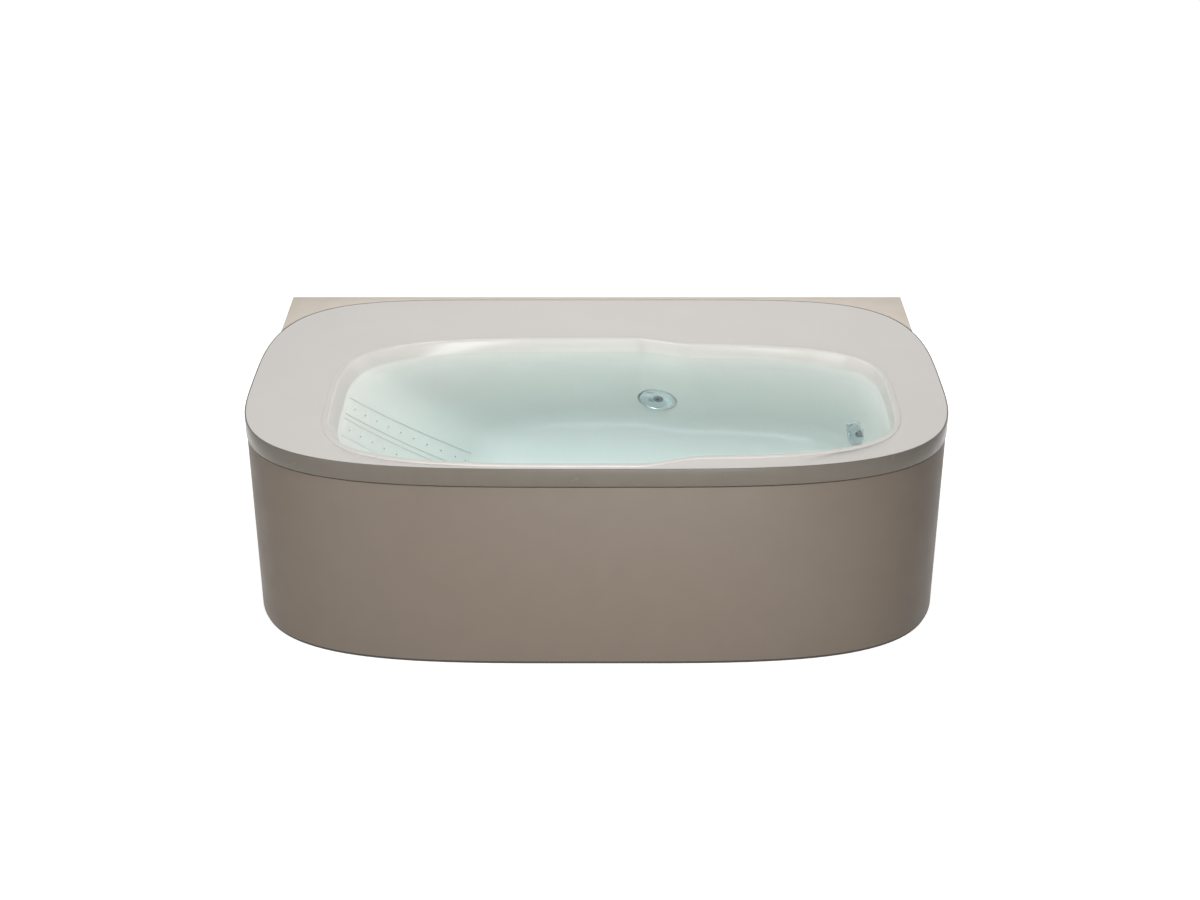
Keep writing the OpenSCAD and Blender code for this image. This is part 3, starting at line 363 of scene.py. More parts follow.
# rolled lacquer: flat and warm, without a highlight
INFILL_BEIGE = Finish(
    "matt lacquered board, rolled", "DACFC3", "D7CCBF", roughness=(0.5, 0.6), grain_mm=50, relief_mm=1.5,
    relief=0.03,
)
# plated: mirrors the water and the lamps, with hardly any waviness
CHROME = Finish(
    "chrome plate, bright polished", "DCDEE0", "D6D8DA", roughness=(0.05, 0.1), grain_mm=15, relief_mm=20,
    relief=0.01, metallic=1.0,
)
# moulded gloss: a mid grey that reads as a dark eye in the chrome
NOZZLE_GREY = Finish(
    "ABS, moulded gloss", "7F8588", "797F82", roughness=(0.2, 0.3), grain_mm=6, relief_mm=1.5, relief=0.01,
    ior=1.53,
)
# plated satin: a bright, soft-edged highlight
BUTTON_WHITE = Finish(
    "ABS, plated satin cap", "DADCDD", "D4D6D7", roughness=(0.18, 0.25), grain_mm=8, relief_mm=1.0,
    relief=0.01, metallic=1.0,
)
# extruded pipe: off-white with a waxy sheen and faint draw marks
PVC_WHITE = Finish(
    "uPVC, extruded and solvent welded", "DFDFDA", "D8D8D2", roughness=(0.3, 0.42), grain_mm=35,
    relief_mm=4, relief=0.04, ior=1.53,
)
# soft extrusion: dull grey with a visible grain
HOSE_GREY = Finish(
    "soft PVC hose, extruded", "5E6266", "575B5F", roughness=(0.4, 0.5), grain_mm=14, relief_mm=3,
    relief=0.12, ior=1.53,
)
# moulded with glass fibre: near-black with a fine matt sparkle
PUMP_BLACK = Finish(
    "glass-filled nylon, moulded", "2E3033", "27292B", roughness=(0.48, 0.62), grain_mm=4, relief_mm=0.8,
    relief=0.05, ior=1.53,
)
# stove enamel over a casting: blue-grey with pitted relief
MOTOR_GREY = Finish(
    "cast aluminium, stove enamelled", "5B6570", "545E68", roughness=(0.38, 0.48), grain_mm=10,
    relief_mm=2.2, relief=0.08,
)
# turned: bright, with fine marks across the axis
ROTOR_STEEL = Finish(
    "machined steel, turned", "A6A6A3", "9A9A98", roughness=(0.25, 0.38), grain_mm=3, relief_mm=1.0,
    relief=0.02, metallic=1.0, stretch=(6.0, 1.0, 1.0),
)
# hot-dip zinc: pale crystals of differing gloss
GALVANISED = Finish(
    "sheet steel, hot-dip galvanised", "A9AEB1", "8F9599", roughness=(0.34, 0.52), grain_mm=16, relief_mm=6,
    relief=0.03, metallic=1.0, spangle=True,
)
# plated fasteners: even, slightly warm metal
ZINC_PLATED = Finish(
    "turned steel, zinc plated", "B9BAB4", "ABACA2", roughness=(0.28, 0.38), grain_mm=5, relief_mm=0.8,
    relief=0.02, metallic=1.0,
)
# moulded rubber: dead black without a clear highlight
RUBBER = Finish(
    "EPDM rubber, moulded", "262626", "1F1F1F", roughness=(0.7, 0.82), grain_mm=5, relief_mm=0.9,
    relief=0.05, ior=1.52,
)
# textured mould: pale grey that scatters the light
BOX_GREY = Finish(
    "ABS, moulded with a fine texture", "CFCFCB", "CACAC5", roughness=(0.5, 0.6), grain_mm=20,
    relief_mm=0.9, relief=0.04, ior=1.53,
)
# wood, water and paper have node trees of their own
PLYWOOD = Plywood()
WATER = BathWater()
PAPER = StudioFloor()


# --- modelling by hand


def clear_selection() -> None:
    """Leaves edit mode and selects nothing."""
    if bpy.context.object is not None and bpy.context.object.mode != "OBJECT":
        bpy.ops.object.mode_set(mode="OBJECT")
    bpy.ops.object.select_all(action="DESELECT")


def extrude_through(name: str, rings: Sequence[Ring], closed: bool = False) -> Piece:
    """Models a piece by extruding one loop of edges through a row of places.

    Args:
        name: Name of the new piece.
        rings: Loops of points, all with the same count.
        closed: True to bridge the last loop to the first, False to fill both ends.

    Returns:
        The new mesh object.
    """
    clear_selection()
    count = len(rings[0])
    bpy.ops.mesh.primitive_circle_add(vertices=count, radius=1.0, fill_type="NOTHING")
    piece = bpy.context.object
    piece.name = piece.data.name = name
    bpy.ops.object.mode_set(mode="EDIT")
    bpy.ops.mesh.select_all(action="SELECT")
    work = bmesh.from_edit_mesh(piece.data)
    work.verts.ensure_lookup_table()
    order = {vert.index: i for i, vert in enumerate(work.verts)}
    for vert in work.verts:
        vert.co = rings[0][order[vert.index]]
    for ring in rings[1:]:
        bpy.ops.mesh.extrude_region()
        work = bmesh.from_edit_mesh(piece.data)
        work.verts.index_update()
        fresh = {}
        for vert in work.verts:
            if vert.select:
                base = next(e.other_vert(vert) for e in vert.link_edges if e.other_vert(vert).index in order)
                fresh[vert.index] = order[base.index]
        for vert in work.verts:
            if vert.index in fresh:
                vert.co = ring[fresh[vert.index]]
        order = fresh
    ends = [set(range(count)), set(order)]
    for end in ([ends[0] | ends[1]] if closed else ends):
        select_edges(work, lambda edge: edge.is_boundary and all(v.index in end for v in edge.verts))
        bmesh.update_edit_mesh(piece.data)
        if closed:
            bpy.ops.mesh.bridge_edge_loops()
        else:
            bpy.ops.mesh.edge_face_add()
        work = bmesh.from_edit_mesh(piece.data)
        work.verts.index_update()
    bpy.ops.mesh.select_all(action="SELECT")
    bpy.ops.mesh.normals_make_consistent(inside=False)
    bpy.ops.object.mode_set(mode="OBJECT")
    return piece


def select_edges(work: bmesh.types.BMesh, wanted: Callable[[bmesh.types.BMEdge], bool]) -> None:
    """Selects only the edges that a test accepts.

    Args:
        work: Edit mesh.
        wanted: Function from an edge to True or False.
    """
    for face in work.faces:
        face.select_set(False)
    for vert in work.verts:
        vert.select_set(False)
    for edge in work.edges:
        if wanted(edge):
            edge.select_set(True)
    work.select_flush_mode()


def spin_profile(
    name: str, profile: Sequence[tuple[float, float]], place: Matrix, steps: int = 96
) -> Piece:
    """Models a turned piece by spinning a closed profile round its own axis.

    Args:
        name: Name of the new piece.
        profile: Radius and height pairs in millimetres, once round the section.
        place: Matrix from the piece's own axis to the tub.
        steps: Steps of the spin.

    Returns:
        The new mesh object.
    """
    clear_selection()
    bpy.ops.mesh.primitive_circle_add(vertices=len(profile), radius=1.0, fill_type="NOTHING")
    piece = bpy.context.object
    piece.name = piece.data.name = name
    for vert, (radius, height) in zip(piece.data.vertices, profile):
        vert.co = (radius * MM, 0.0, height * MM)
    bpy.ops.object.mode_set(mode="EDIT")
    bpy.ops.mesh.select_all(action="SELECT")
    bpy.ops.mesh.spin(steps=steps, angle=2 * math.pi, center=(0, 0, 0), axis=(0, 0, 1))
    bpy.ops.mesh.select_all(action="SELECT")
    bpy.ops.mesh.remove_doubles(threshold=0.00001)
    bpy.ops.mesh.dissolve_degenerate(threshold=0.000001)
    bpy.ops.mesh.normals_make_consistent(inside=False)
    bpy.ops.object.mode_set(mode="OBJECT")
    piece.data.transform(place)
    return piece


def apply_modifiers(piece: Piece) -> None:
    """Applies every modifier of a piece, in order."""
    clear_selection()
    piece.select_set(True)
    bpy.context.view_layer.objects.active = piece
    for modifier in list(piece.modifiers):
        bpy.ops.object.modifier_apply(modifier=modifier.name)


def smooth(piece: Piece, degrees: float = 35.0) -> None:
    """Shades a piece smooth, apart from edges sharper than an angle."""
    clear_selection()
    piece.select_set(True)
    bpy.context.view_layer.objects.active = piece
    bpy.ops.object.shade_smooth_by_angle(angle=math.radians(degrees))


def soften(piece: Piece, width_mm: float, segments: int = 2, degrees: float = 40.0) -> None:
    """Rounds the sharp edges of a piece with a bevel, and applies it.

    Args:
        piece: The piece.
        width_mm: Width of the rounding.
        segments: Facets across it.
        degrees: Edges sharper than this are rounded.
    """
    bevel = piece.modifiers.new("rounded edges", "BEVEL")
    bevel.width = width_mm * MM
    bevel.segments = segments
    bevel.limit_method = "ANGLE"
    bevel.angle_limit = math.radians(degrees)
    bevel.harden_normals = False
    apply_modifiers(piece)


def combine(piece: Piece, others: Iterable[Piece], operation: str) -> None:
    """Joins solids to a piece, or cuts them out of it, and deletes them.

    Args:
        piece: The piece.
        others: Solids that touch it.
        operation: UNION or DIFFERENCE.
    """
    others = list(others)
    for other in others:
        boolean = piece.modifiers.new(other.name, "BOOLEAN")
        boolean.operation = operation
        boolean.solver = "EXACT"
        boolean.object = other
    apply_modifiers(piece)
    for other in others:
        bpy.data.objects.remove(other)


def cut(piece: Piece, tools: Iterable[Piece]) -> None:
    """Cuts tool shapes out of a piece and deletes the tools."""
    combine(piece, tools, "DIFFERENCE")


def join(piece: Piece, others: Iterable[Piece]) -> None:
    """Joins solids to a piece and deletes them."""
    combine(piece, others, "UNION")


def drum(name: str, radius: float, low: float, high: float, place: Matrix, sides: int = 96) -> Piece:
    """Adds a round tool along a place's own axis, sizes in millimetres."""
    clear_selection()
    bpy.ops.mesh.primitive_cylinder_add(
        vertices=sides, radius=radius * MM, depth=(high - low) * MM, location=(0, 0, (high + low) / 2 * MM)
    )
    tool = bpy.context.object
    tool.name = name
    bpy.ops.object.transform_apply(location=True, rotation=False, scale=False)
    tool.data.transform(place)
    return tool


def dress(piece: Piece, finish: Surface, body: str, nodes: Sequence[str] = ()) -> None:
    """Gives a finished piece its material, its body and the nodes it stands for.

    Args:
        piece: The piece.
        finish: Its surface.
        body: CAD body that it rides on.
        nodes: CAD nodes that it replaces.
    """
    piece.data.materials.clear()
    piece.data.materials.append(finish.build())
    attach(piece, body)
    if nodes:
        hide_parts(*nodes)
    LOG.info("%s: %d faces, %s", piece.name, len(piece.data.polygons), finish.title)


# --- shapes of the tub

# steps of a measured path, and halvings of a search: both far finer than the eye
FINE = 7200
HALVINGS = 50


def signed_power(value: float, power: float) -> float:
    """Power of a number's size, with its sign kept."""
    return math.copysign(abs(value) ** power, value)


def halve(low: float, high: float, short: Callable[[float], bool]) -> float:
    """Searches where a test turns from True to False between two values."""
    for _ in range(HALVINGS):
        mid = (low + high) / 2
        if short(mid):
            low = mid
        else:
            high = mid
    return low


def eased(value: float) -> float:
    """Smooth step from 0 to 1."""
    value = min(1.0, max(0.0, value))
    return value * value * (3 - 2 * value)


@dataclass(frozen=True)
class DeckShape:
    """Oval outline of the deck, in metres."""

    half_x: float = 0.950
    half_y: float = 0.5395
    middle_y: float = -0.0105
    top: float = 0.592
    band_low: float = 0.541
    front_powers: tuple[float, float] = (3.7, 3.65)
    back_powers: tuple[float, float] = (6.3, 3.0)

    def point(self, turn: float, inset: float, z: float) -> Vector:
        """Point of the outline.

        Args:
            turn: Angle of the curve's parameter, in degrees.
            inset: Distance that both half sizes are reduced by.
            z: Height.

        Returns:
            The point.
        """
        angle = math.radians(turn)
        powers = self.front_powers if math.sin(angle) < 0 else self.back_powers
        return Vector((
            (self.half_x - inset) * signed_power(math.cos(angle), 2 / powers[0]),
            self.middle_y + (self.half_y - inset) * signed_power(math.sin(angle), 2 / powers[1]),
            z,
        ))

    def turns(self, count: int, start: float = 0.0, stop: float = 360.0) -> list[float]:
        """Parameter angles that space points evenly along the outline.

        Args:
            count: How many.
            start: First angle.
            stop: Angle after the last one.

        Returns:
            The angles.
        """
        fine = [start + (stop - start) * i / FINE for i in range(FINE + 1)]
        path = [self.point(turn, 0.0, 0.0) for turn in fine]
        run = [0.0]
        for a, b in zip(path, path[1:]):
            run.append(run[-1] + (b - a).length)
        result, j = [], 0
        for i in range(count):
            goal = run[-1] * i / count
            while run[j + 1] < goal:
                j += 1
            share = (goal - run[j]) / max(run[j + 1] - run[j], 1e-9)
            result.append(fine[j] + share * (fine[j + 1] - fine[j]))
        return result

    def ring(self, turns: Sequence[float], inset: float, z: float) -> Ring:
        """Closed ring of the outline at a height."""
        return [self.point(turn, inset, z) for turn in turns]


@dataclass(frozen=True)
class BasinShape:
    """Basin with a sloped backrest at the left end, in metres."""

    half_l: float = 0.756
    half_w: float = 0.380
    middle: tuple[float, float] = (0.040, -0.141)
    step_in: float = 0.041
    step: tuple[float, float] = (0.105, 0.280)
    top: float = 0.595
    depth: float = 0.445
    skin: float = 0.006
    side_lean: float = 0.18
    foot_lean: float = 0.19
    back_lean: float = 0.62
    back_curl: float = 0.55
    corner: float = 0.085
    back_corner: float = 0.120
    roll: float = 0.006
    rim_power: float = 3.8
    floor_power: float = 3.0
    wall_steps: int = 6
    corner_steps: int = 6

    @property
    def last(self) -> int:
        """Station of the floor's edge."""
        return self.wall_steps + self.corner_steps

    def outline(self, turn: float, end_in: float, side_in: float, power: float) -> tuple[float, float]:
        """Point of the opening's outline in one direction, with its ends and sides moved in."""
        c, s = math.cos(math.radians(turn)), math.sin(math.radians(turn))
        q = (abs(c) ** power + abs(s) ** power) ** (1 / power)
        x = self.middle[0] + (self.half_l - end_in) * c / q
        stepped = eased((x - self.step[0]) / (self.step[1] - self.step[0]))
        half = self.half_w - side_in - self.step_in * stepped
        return x, self.middle[1] + half * s / q

    def station(self, k: float, lean: float, curl: float, corner: float) -> tuple[float, float, float]:
        """Profile of a wall: distance in, drop and angle from vertical, in radians."""
        turn_start = math.atan(lean + 2 * curl * (self.depth - 0.4 * corner))
        wall_drop = self.depth - corner * (1 - math.sin(turn_start))
        if k <= self.wall_steps:
            drop = self.roll + (wall_drop - self.roll) * k / self.wall_steps
            return drop * (lean + curl * drop), drop, math.atan(lean + 2 * curl * drop)
        turn = turn_start + (math.pi / 2 - turn_start) * (k - self.wall_steps) / self.corner_steps
        rise = (math.sin(turn) - math.sin(turn_start)) / (1 - math.sin(turn_start))
        return (
            wall_drop * (lean + curl * wall_drop) + corner * (math.cos(turn_start) - math.cos(turn)),
            wall_drop + (self.depth - wall_drop) * rise,
            turn,
        )

    def back_station(self, k: float) -> tuple[float, float, float]:
        """Station of the backrest."""
        return self.station(k, self.back_lean, self.back_curl, self.back_corner)

    def point(self, turn: float, k: float, skin: float = 0.0) -> Vector:
        """Point of the basin's inside, or behind it through the wall.

        Args:
            turn: Direction from the middle of the opening, in degrees.
            k: Station, 0 at the lip and last at the floor.
            skin: Distance out through the wall.

        Returns:
            The point.
        """
        side = self.station(k, self.side_lean, 0.0, self.corner)
        c, s = math.cos(math.radians(turn)), math.sin(math.radians(turn))
        end = self.back_station(k) if c < 0 else self.station(k, self.foot_lean, 0.0, self.corner)
        power = self.rim_power + (self.floor_power - self.rim_power) * k / self.last
        x, y = self.outline(
            turn, end[0] - skin * math.cos(end[2]), side[0] - skin * math.cos(side[2]), power
        )
        end_share, side_share = c ** 4, s ** 4
        drop = (
            end_share * (end[1] + skin * math.sin(end[2])) + side_share * (side[1] + skin * math.sin(side[2]))
        ) / (end_share + side_share)
        return Vector((x, y, self.top - drop))

    def directions(self) -> list[float]:
        """Directions round the opening, closer together where its sides step in."""
        half = [1 + 2 * i for i in range(32)] + [65 + i for i in range(22)] + [88 + 2 * i for i in range(46)]
        return [float(a) for a in half] + [360.0 - a for a in reversed(half)]

    def ring(self, k: float, skin: float = 0.0) -> Ring:
        """Ring of the basin's wall at a station."""
        return [self.point(turn, k, skin) for turn in self.directions()]

    def lip(self, outset: float, z: float) -> Ring:
        """Ring of the lip outside the opening."""
        ring = []
        for turn in self.directions():
            x, y = self.outline(turn, -outset, -outset, self.rim_power)
            ring.append(Vector((x, y, z)))
        return ring

    def normal(self, turn: float, k: float) -> Vector:
        """Direction from the wall into the water."""
        along = self.point(turn + 1, k) - self.point(turn - 1, k)
        down = self.point(turn, k + 0.3) - self.point(turn, k - 0.3)
        return along.cross(down).normalized()

    def seat(self, turn: float, k: float, tilt: float = 0.0, sink: float = 0.0) -> Matrix:
        """Matrix of a fitting on the wall, whose own Z points into the water.

        Args:
            turn: Direction from the middle of the opening, in degrees.
            k: Station on the wall.
            tilt: Tilt upwards from the wall, in degrees.
            sink: Depth behind the wall's face.

        Returns:
            The matrix.
        """
        n = self.normal(turn, k)
        turned = Matrix.Rotation(math.atan2(n.y, n.x), 4, "Z")
        turned = turned @ Matrix.Rotation(math.acos(n.z) - math.radians(tilt), 4, "Y")
        return Matrix.Translation(self.point(turn, k)) @ turned @ Matrix.Translation((0, 0, -sink))

    def station_at(self, turn: float, z: float) -> float:
        """Station where the wall passes a height, in one direction."""
        return halve(0.0, float(self.last), lambda k: self.point(turn, k).z > z)


DECK = DeckShape()
BASIN = BasinShape()


# clearance of two faces that lie on each other
JOINT = 0.00005

# radius of a jet's seat in millimetres, and its tilt upwards in degrees
SEAT_RADIUS = 59.0
SEAT_TILT = 12.0
SUCTION_RADIUS = 55.0
# height of a seat's face over the wall's face, in millimetres
SEAT_RISE = 1.5


class JetPlace(Enum):
    """The four jets: direction and station on the basin's wall."""

    BACK = ("back", 79.0, 5.0)
    FRONT = ("front", 281.0, 5.0)
    FOOT_BACK = ("foot_back", 20.5, 5.1)
    FOOT_FRONT = ("foot_front", 339.5, 5.1)

    @property
    def seat(self) -> Matrix:
        """Matrix of this jet, whose seat looks up a little and lies flush at its lower edge."""
        _, turn, station = self.value
        return BASIN.seat(turn, station, SEAT_TILT, SEAT_RADIUS * MM * math.sin(math.radians(SEAT_TILT)))


class WallPlace(Enum):
    """Other fittings of the basin's wall: direction and station."""

    SUCTION = (257.0, 4.9)
    OVERFLOW = (268.0, 0.62)
    BUTTON = (301.0, 0.5)

    @property
    def seat(self) -> Matrix:
        """Matrix of this fitting, square to the wall."""
        return BASIN.seat(*self.value)


# the strips' sizes in millimetres, and their stretch of the backrest's profile in stations
STRIP_W = 88.0
STRIP_PITCH = 124.0
STRIP_SHIFT = -27.0
STRIP_SINK = 3.5
STRIP_GROOVE = 8.0
STRIP_FROM, STRIP_TO, STRIP_STEPS = 0.7, 7.2, 26
STRIP_YS = tuple(BASIN.middle[1] + (STRIP_SHIFT + side * STRIP_PITCH / 2) * MM for side in (1, -1))


def profile_bar(
    name: str, y: float, low: float, high: float, wide: float, first: float = 0, last: float = STRIP_STEPS
) -> Piece:
    """Models a bar that follows the backrest's profile.

    Args:
        name: Name of the bar.
        y: Its middle.
        low: Lower side above the wall's face, in millimetres.
        high: Upper side above it.
        wide: Width, in millimetres.
        first: Where it starts along the profile, in steps.
        last: Where it ends.

    Returns:
        The bar.
    """
    loop = []
    marks = [first, *range(math.floor(first) + 1, math.ceil(last)), last]
    for steps, lift in ((marks, low), (marks[::-1], high)):
        for i in steps:
            into, drop, turn = BASIN.back_station(STRIP_FROM + (STRIP_TO - STRIP_FROM) * i / STRIP_STEPS)
            x = BASIN.middle[0] - BASIN.half_l + into + lift * MM * math.cos(turn)
            loop.append((x, BASIN.top - drop + lift * MM * math.sin(turn)))
    sides = (y - wide * MM / 2, y + wide * MM / 2)
    return extrude_through(name, [[Vector((x, side, z)) for x, z in loop] for side in sides])


# --- sub-assemblies


@dataclass
class Basin:
    """Moulded shell with its lip, jet seats, strip recesses and bores, sizes in millimetres.

    Attributes:
        lip_w: Width of the lip on the deck.
        painted_shade_depth: Depth of the lip's top that has the deck's colour.
        seat_thick: Thickness of the wall at the seats.
        boss_margin: Wall that stands round a seat.
        boss_cover: Height that a boss reaches past its seat's upper edge.
        pad_margin: Wall that stands round a strip's recess.
        pad_low: Back of that wall, as a height over the wall's face.
        jet_bore: Radius of the bore behind a jet.
        suction_bore: Radius of the bore behind the suction grille.
        overflow_bore: Radius of the overflow's bore.
        button_bore: Radius of the start button's bore.
        waste_bore: Radius of the waste's bore.
        waste_x: Place of the waste along the tub.
        slot_w: Width of the air slot behind a strip.
    """

    lip_w: float = 16.0
    painted_shade_depth: float = 0.8
    seat_thick: float = 13.0
    boss_margin: float = 3.0
    boss_cover: float = 4.0
    pad_margin: float = 3.0
    pad_low: float = -6.1
    jet_bore: float = 30.5
    suction_bore: float = 34.5
    overflow_bore: float = 17.5
    button_bore: float = 9.5
    waste_bore: float = 26.0
    waste_x: float = 60.0
    slot_w: float = 14.0

    def rings(self) -> list[Ring]:
        """Rings from the middle of the inside, over the lip and down the outside."""
        half_steps = [k / 2 for k in range(2 * BASIN.last, -1, -1)]
        top = BASIN.top
        bead = [(0.6, -3.6), (0.9, -2.2), (1.6, -1.1), (2.7, -0.35), (4.2, 0.0), (8.0, 0.0)]
        edge = [(3.6, 0.0), (1.8, -0.25), (0.6, -1.0), (0.0, -2.0)]
        bead += [(self.lip_w - back, down) for back, down in edge]
        rings = [BASIN.ring(k) for k in half_steps]
        rings += [BASIN.lip(out * MM, top + up * MM) for out, up in bead]
        rings += [BASIN.lip(out, DECK.top + JOINT) for out in (self.lip_w * MM, BASIN.skin)]
        rings += [BASIN.ring(k, BASIN.skin) for k in range(BASIN.last + 1)]
        return rings

    def bath_space(self) -> Piece:
        """Models the space inside the basin, a little into its wall."""
        return extrude_through("bath_space", [BASIN.ring(k / 2, 0.1 * MM) for k in range(2 * BASIN.last + 1)])

    def bosses(self) -> list[Piece]:
        """Models what thickens the wall behind the jets, the strips and the suction grille."""
        low = SEAT_RISE - self.seat_thick
        high = SEAT_RISE + 2 * SEAT_RADIUS * math.sin(math.radians(SEAT_TILT)) + self.boss_cover
        bosses = [drum("boss", SEAT_RADIUS + self.boss_margin, low, high, jet.seat) for jet in JetPlace]
        pad_w = STRIP_W + 2 * (STRIP_GROOVE + self.pad_margin)
        bosses += [profile_bar("pad", y, self.pad_low, 20.0, pad_w, -1, STRIP_STEPS + 1) for y in STRIP_YS]
        for boss in bosses:
            cut(boss, [self.bath_space()])
        round_suction = SUCTION_RADIUS + self.boss_margin
        return bosses + [drum("boss", round_suction, low, SEAT_RISE, WallPlace.SUCTION.seat)]

    def tools(self) -> list[Piece]:
        """Models the shapes that are cut out of the shell, each longer than its cut is deep."""
        seats = [(jet.seat, SEAT_RADIUS, self.jet_bore) for jet in JetPlace]
        seats.append((WallPlace.SUCTION.seat, SUCTION_RADIUS, self.suction_bore))
        tools = [drum("seat", radius, SEAT_RISE, SEAT_RISE + 45, seat) for seat, radius, _ in seats]
        tools += [drum("bore", bore, -40, 10, seat) for seat, _, bore in seats]
        for y in STRIP_YS:
            tools.append(profile_bar("recess", y, -STRIP_SINK, 30.0, STRIP_W + 2 * STRIP_GROOVE))
            tools.append(profile_bar("slot", y, -30.0, 5.0, self.slot_w, 2, STRIP_STEPS - 2))
        tools.append(drum("bore", self.overflow_bore, -20, 20, WallPlace.OVERFLOW.seat))
        tools.append(drum("bore", self.button_bore, -20, 20, WallPlace.BUTTON.seat))
        floor = Matrix.Translation((self.waste_x * MM, BASIN.middle[1], BASIN.top - BASIN.depth))
        tools.append(drum("bore", self.waste_bore, -20, 20, floor))
        return tools

    def build(self) -> None:
        """Models the shell, cuts it, and paints the top of its lip in the deck's grey as painted shade."""
        shell = extrude_through("basin_shell", self.rings())
        join(shell, self.bosses())
        cut(shell, self.tools())
        smooth(shell, 32.0)
        weighted = shell.modifiers.new("even shading", "WEIGHTED_NORMAL")
        weighted.keep_sharp = True
        apply_modifiers(shell)
        dress(shell, ACRYLIC, "body", ["basin"])
        # painted shade: the top of the white acrylic lip takes the deck's grey, so that its lit top reads as
        # dark as the wall below it
        shell.data.materials.append(DECK_GREY.build())
        for face in shell.data.polygons:
            if face.center.z > BASIN.top - self.painted_shade_depth * MM:
                face.material_index = 1


@dataclass
class AirStrips:
    """Two perforated strips that lie in recesses of the backrest."""

    holes: int = 11
    hole_r: float = 3.2
    low: float = 0.05 - STRIP_SINK
    high: float = 0.5

    def build(self) -> None:
        """Models both strips and drills them."""
        for name, y in zip(("air_strip_back", "air_strip_front"), STRIP_YS):
            strip = profile_bar(name + "_moulding", y, self.low, self.high, STRIP_W)
            tools = []
            for i in range(self.holes):
                share = (i + 0.7) / (self.holes + 0.4)
                into, drop, turn = BASIN.back_station(STRIP_FROM + (STRIP_TO - STRIP_FROM) * share)
                place = Vector((BASIN.middle[0] - BASIN.half_l + into, y, BASIN.top - drop))
                aim = Matrix.Rotation(math.pi / 2 - turn, 4, "Y")
                tools.append(drum("hole", self.hole_r, -8, 8, Matrix.Translation(place) @ aim, 24))
            cut(strip, tools)
            soften(strip, 0.8, 2, 60.0)
            smooth(strip, 35.0)
            dress(strip, ACRYLIC, "body", [name])


@dataclass
class Water:
    """The water that fills the basin in the photograph, up to a little under the lip."""

    level: float = 0.557
    into_wall: float = 0.0012
    steps: int = 12

    def fills(self) -> list[Piece]:
        """Models the water in the seats and the recesses, where air would mirror the light."""
        wet = self.into_wall / MM
        seats = [(jet.seat, SEAT_RADIUS) for jet in JetPlace] + [(WallPlace.SUCTION.seat, SUCTION_RADIUS)]
        fills = [drum("fill", radius + wet, SEAT_RISE - wet, 20.0, seat) for seat, radius in seats]
        width = STRIP_W + 2 * STRIP_GROOVE + 2 * wet
        for y in STRIP_YS:
            fills.append(profile_bar("fill", y, -STRIP_SINK - wet, 14.0, width, -0.07, STRIP_STEPS + 0.07))
        return fills

    def build(self) -> None:
        """Models the body of water, a little into the basin's wall so that no gap shows."""
        turns = BASIN.directions()
        starts = [BASIN.station_at(turn, self.level) for turn in turns]
        rings = []
        for step in range(self.steps + 1):
            rings.append([
                BASIN.point(turn, start + (BASIN.last - start) * step / self.steps, self.into_wall)
                for turn, start in zip(turns, starts)
            ])
        for point in rings[0]:
            point.z = self.level
        piece = extrude_through("bath_water", rings)
        join(piece, self.fills())
        smooth(piece, 30.0)
        dress(piece, WATER, "body")


@dataclass
class Deck:
    """Oval deck sheet with its edge band."""

    count: int = 360
    band_t: float = 0.003
    sheet_t: float = 0.010
    opening: float = 0.011

    def sheet(self) -> None:
        """Models the deck's sheet with the opening in it."""
        turns = DECK.turns(self.count)
        edge, low = self.band_t + 0.0002, DECK.top - self.sheet_t
        outer = [(edge, low), (edge, DECK.top - 0.0004), (edge + 0.0004, DECK.top)]
        rings = [DECK.ring(turns, inset, z) for inset, z in outer]
        rings += [[Vector((p.x, p.y, z)) for p in self.inner(turns, self.opening)] for z in (DECK.top, low)]
        piece = extrude_through("deck_sheet", rings, closed=True)
        smooth(piece, 30.0)
        dress(piece, DECK_GREY, "body", ["deck_top"])

    def inner(self, turns: Sequence[float], outset: float) -> Ring:
        """Points of the opening that lie in the same directions as the outline's points."""
        ring = []
        for turn in turns:
            far = DECK.point(turn, 0.0, 0.0) - Vector((*BASIN.middle, 0.0))
            x, y = BASIN.outline(math.degrees(math.atan2(far.y, far.x)), -outset, -outset, BASIN.rim_power)
            ring.append(Vector((x, y, 0.0)))
        return ring

    def band(self) -> None:
        """Models the band and its folded flange."""
        turns = DECK.turns(self.count)
        low, top, t = DECK.band_low, DECK.top, self.band_t
        section = [
            (0.0, low + 0.0012), (0.0, top - 0.0014), (0.0003, top - 0.0005), (0.0009, top - 0.0001),
            (0.0014, top), (t - 0.0003, top), (t, top - 0.0003), (t, low + t), (t + 0.012, low + t),
            (t + 0.012, low), (0.0013, low), (0.0004, low + 0.0004),
        ]
        rings = [DECK.ring(turns, inset, z) for inset, z in section]
        piece = extrude_through("deck_band", rings, closed=True)
        smooth(piece, 40.0)
        dress(piece, BAND_TAUPE, "body", ["edge_band"])

    def build(self) -> None:
        """Models the whole deck."""
        self.sheet()
        self.band()


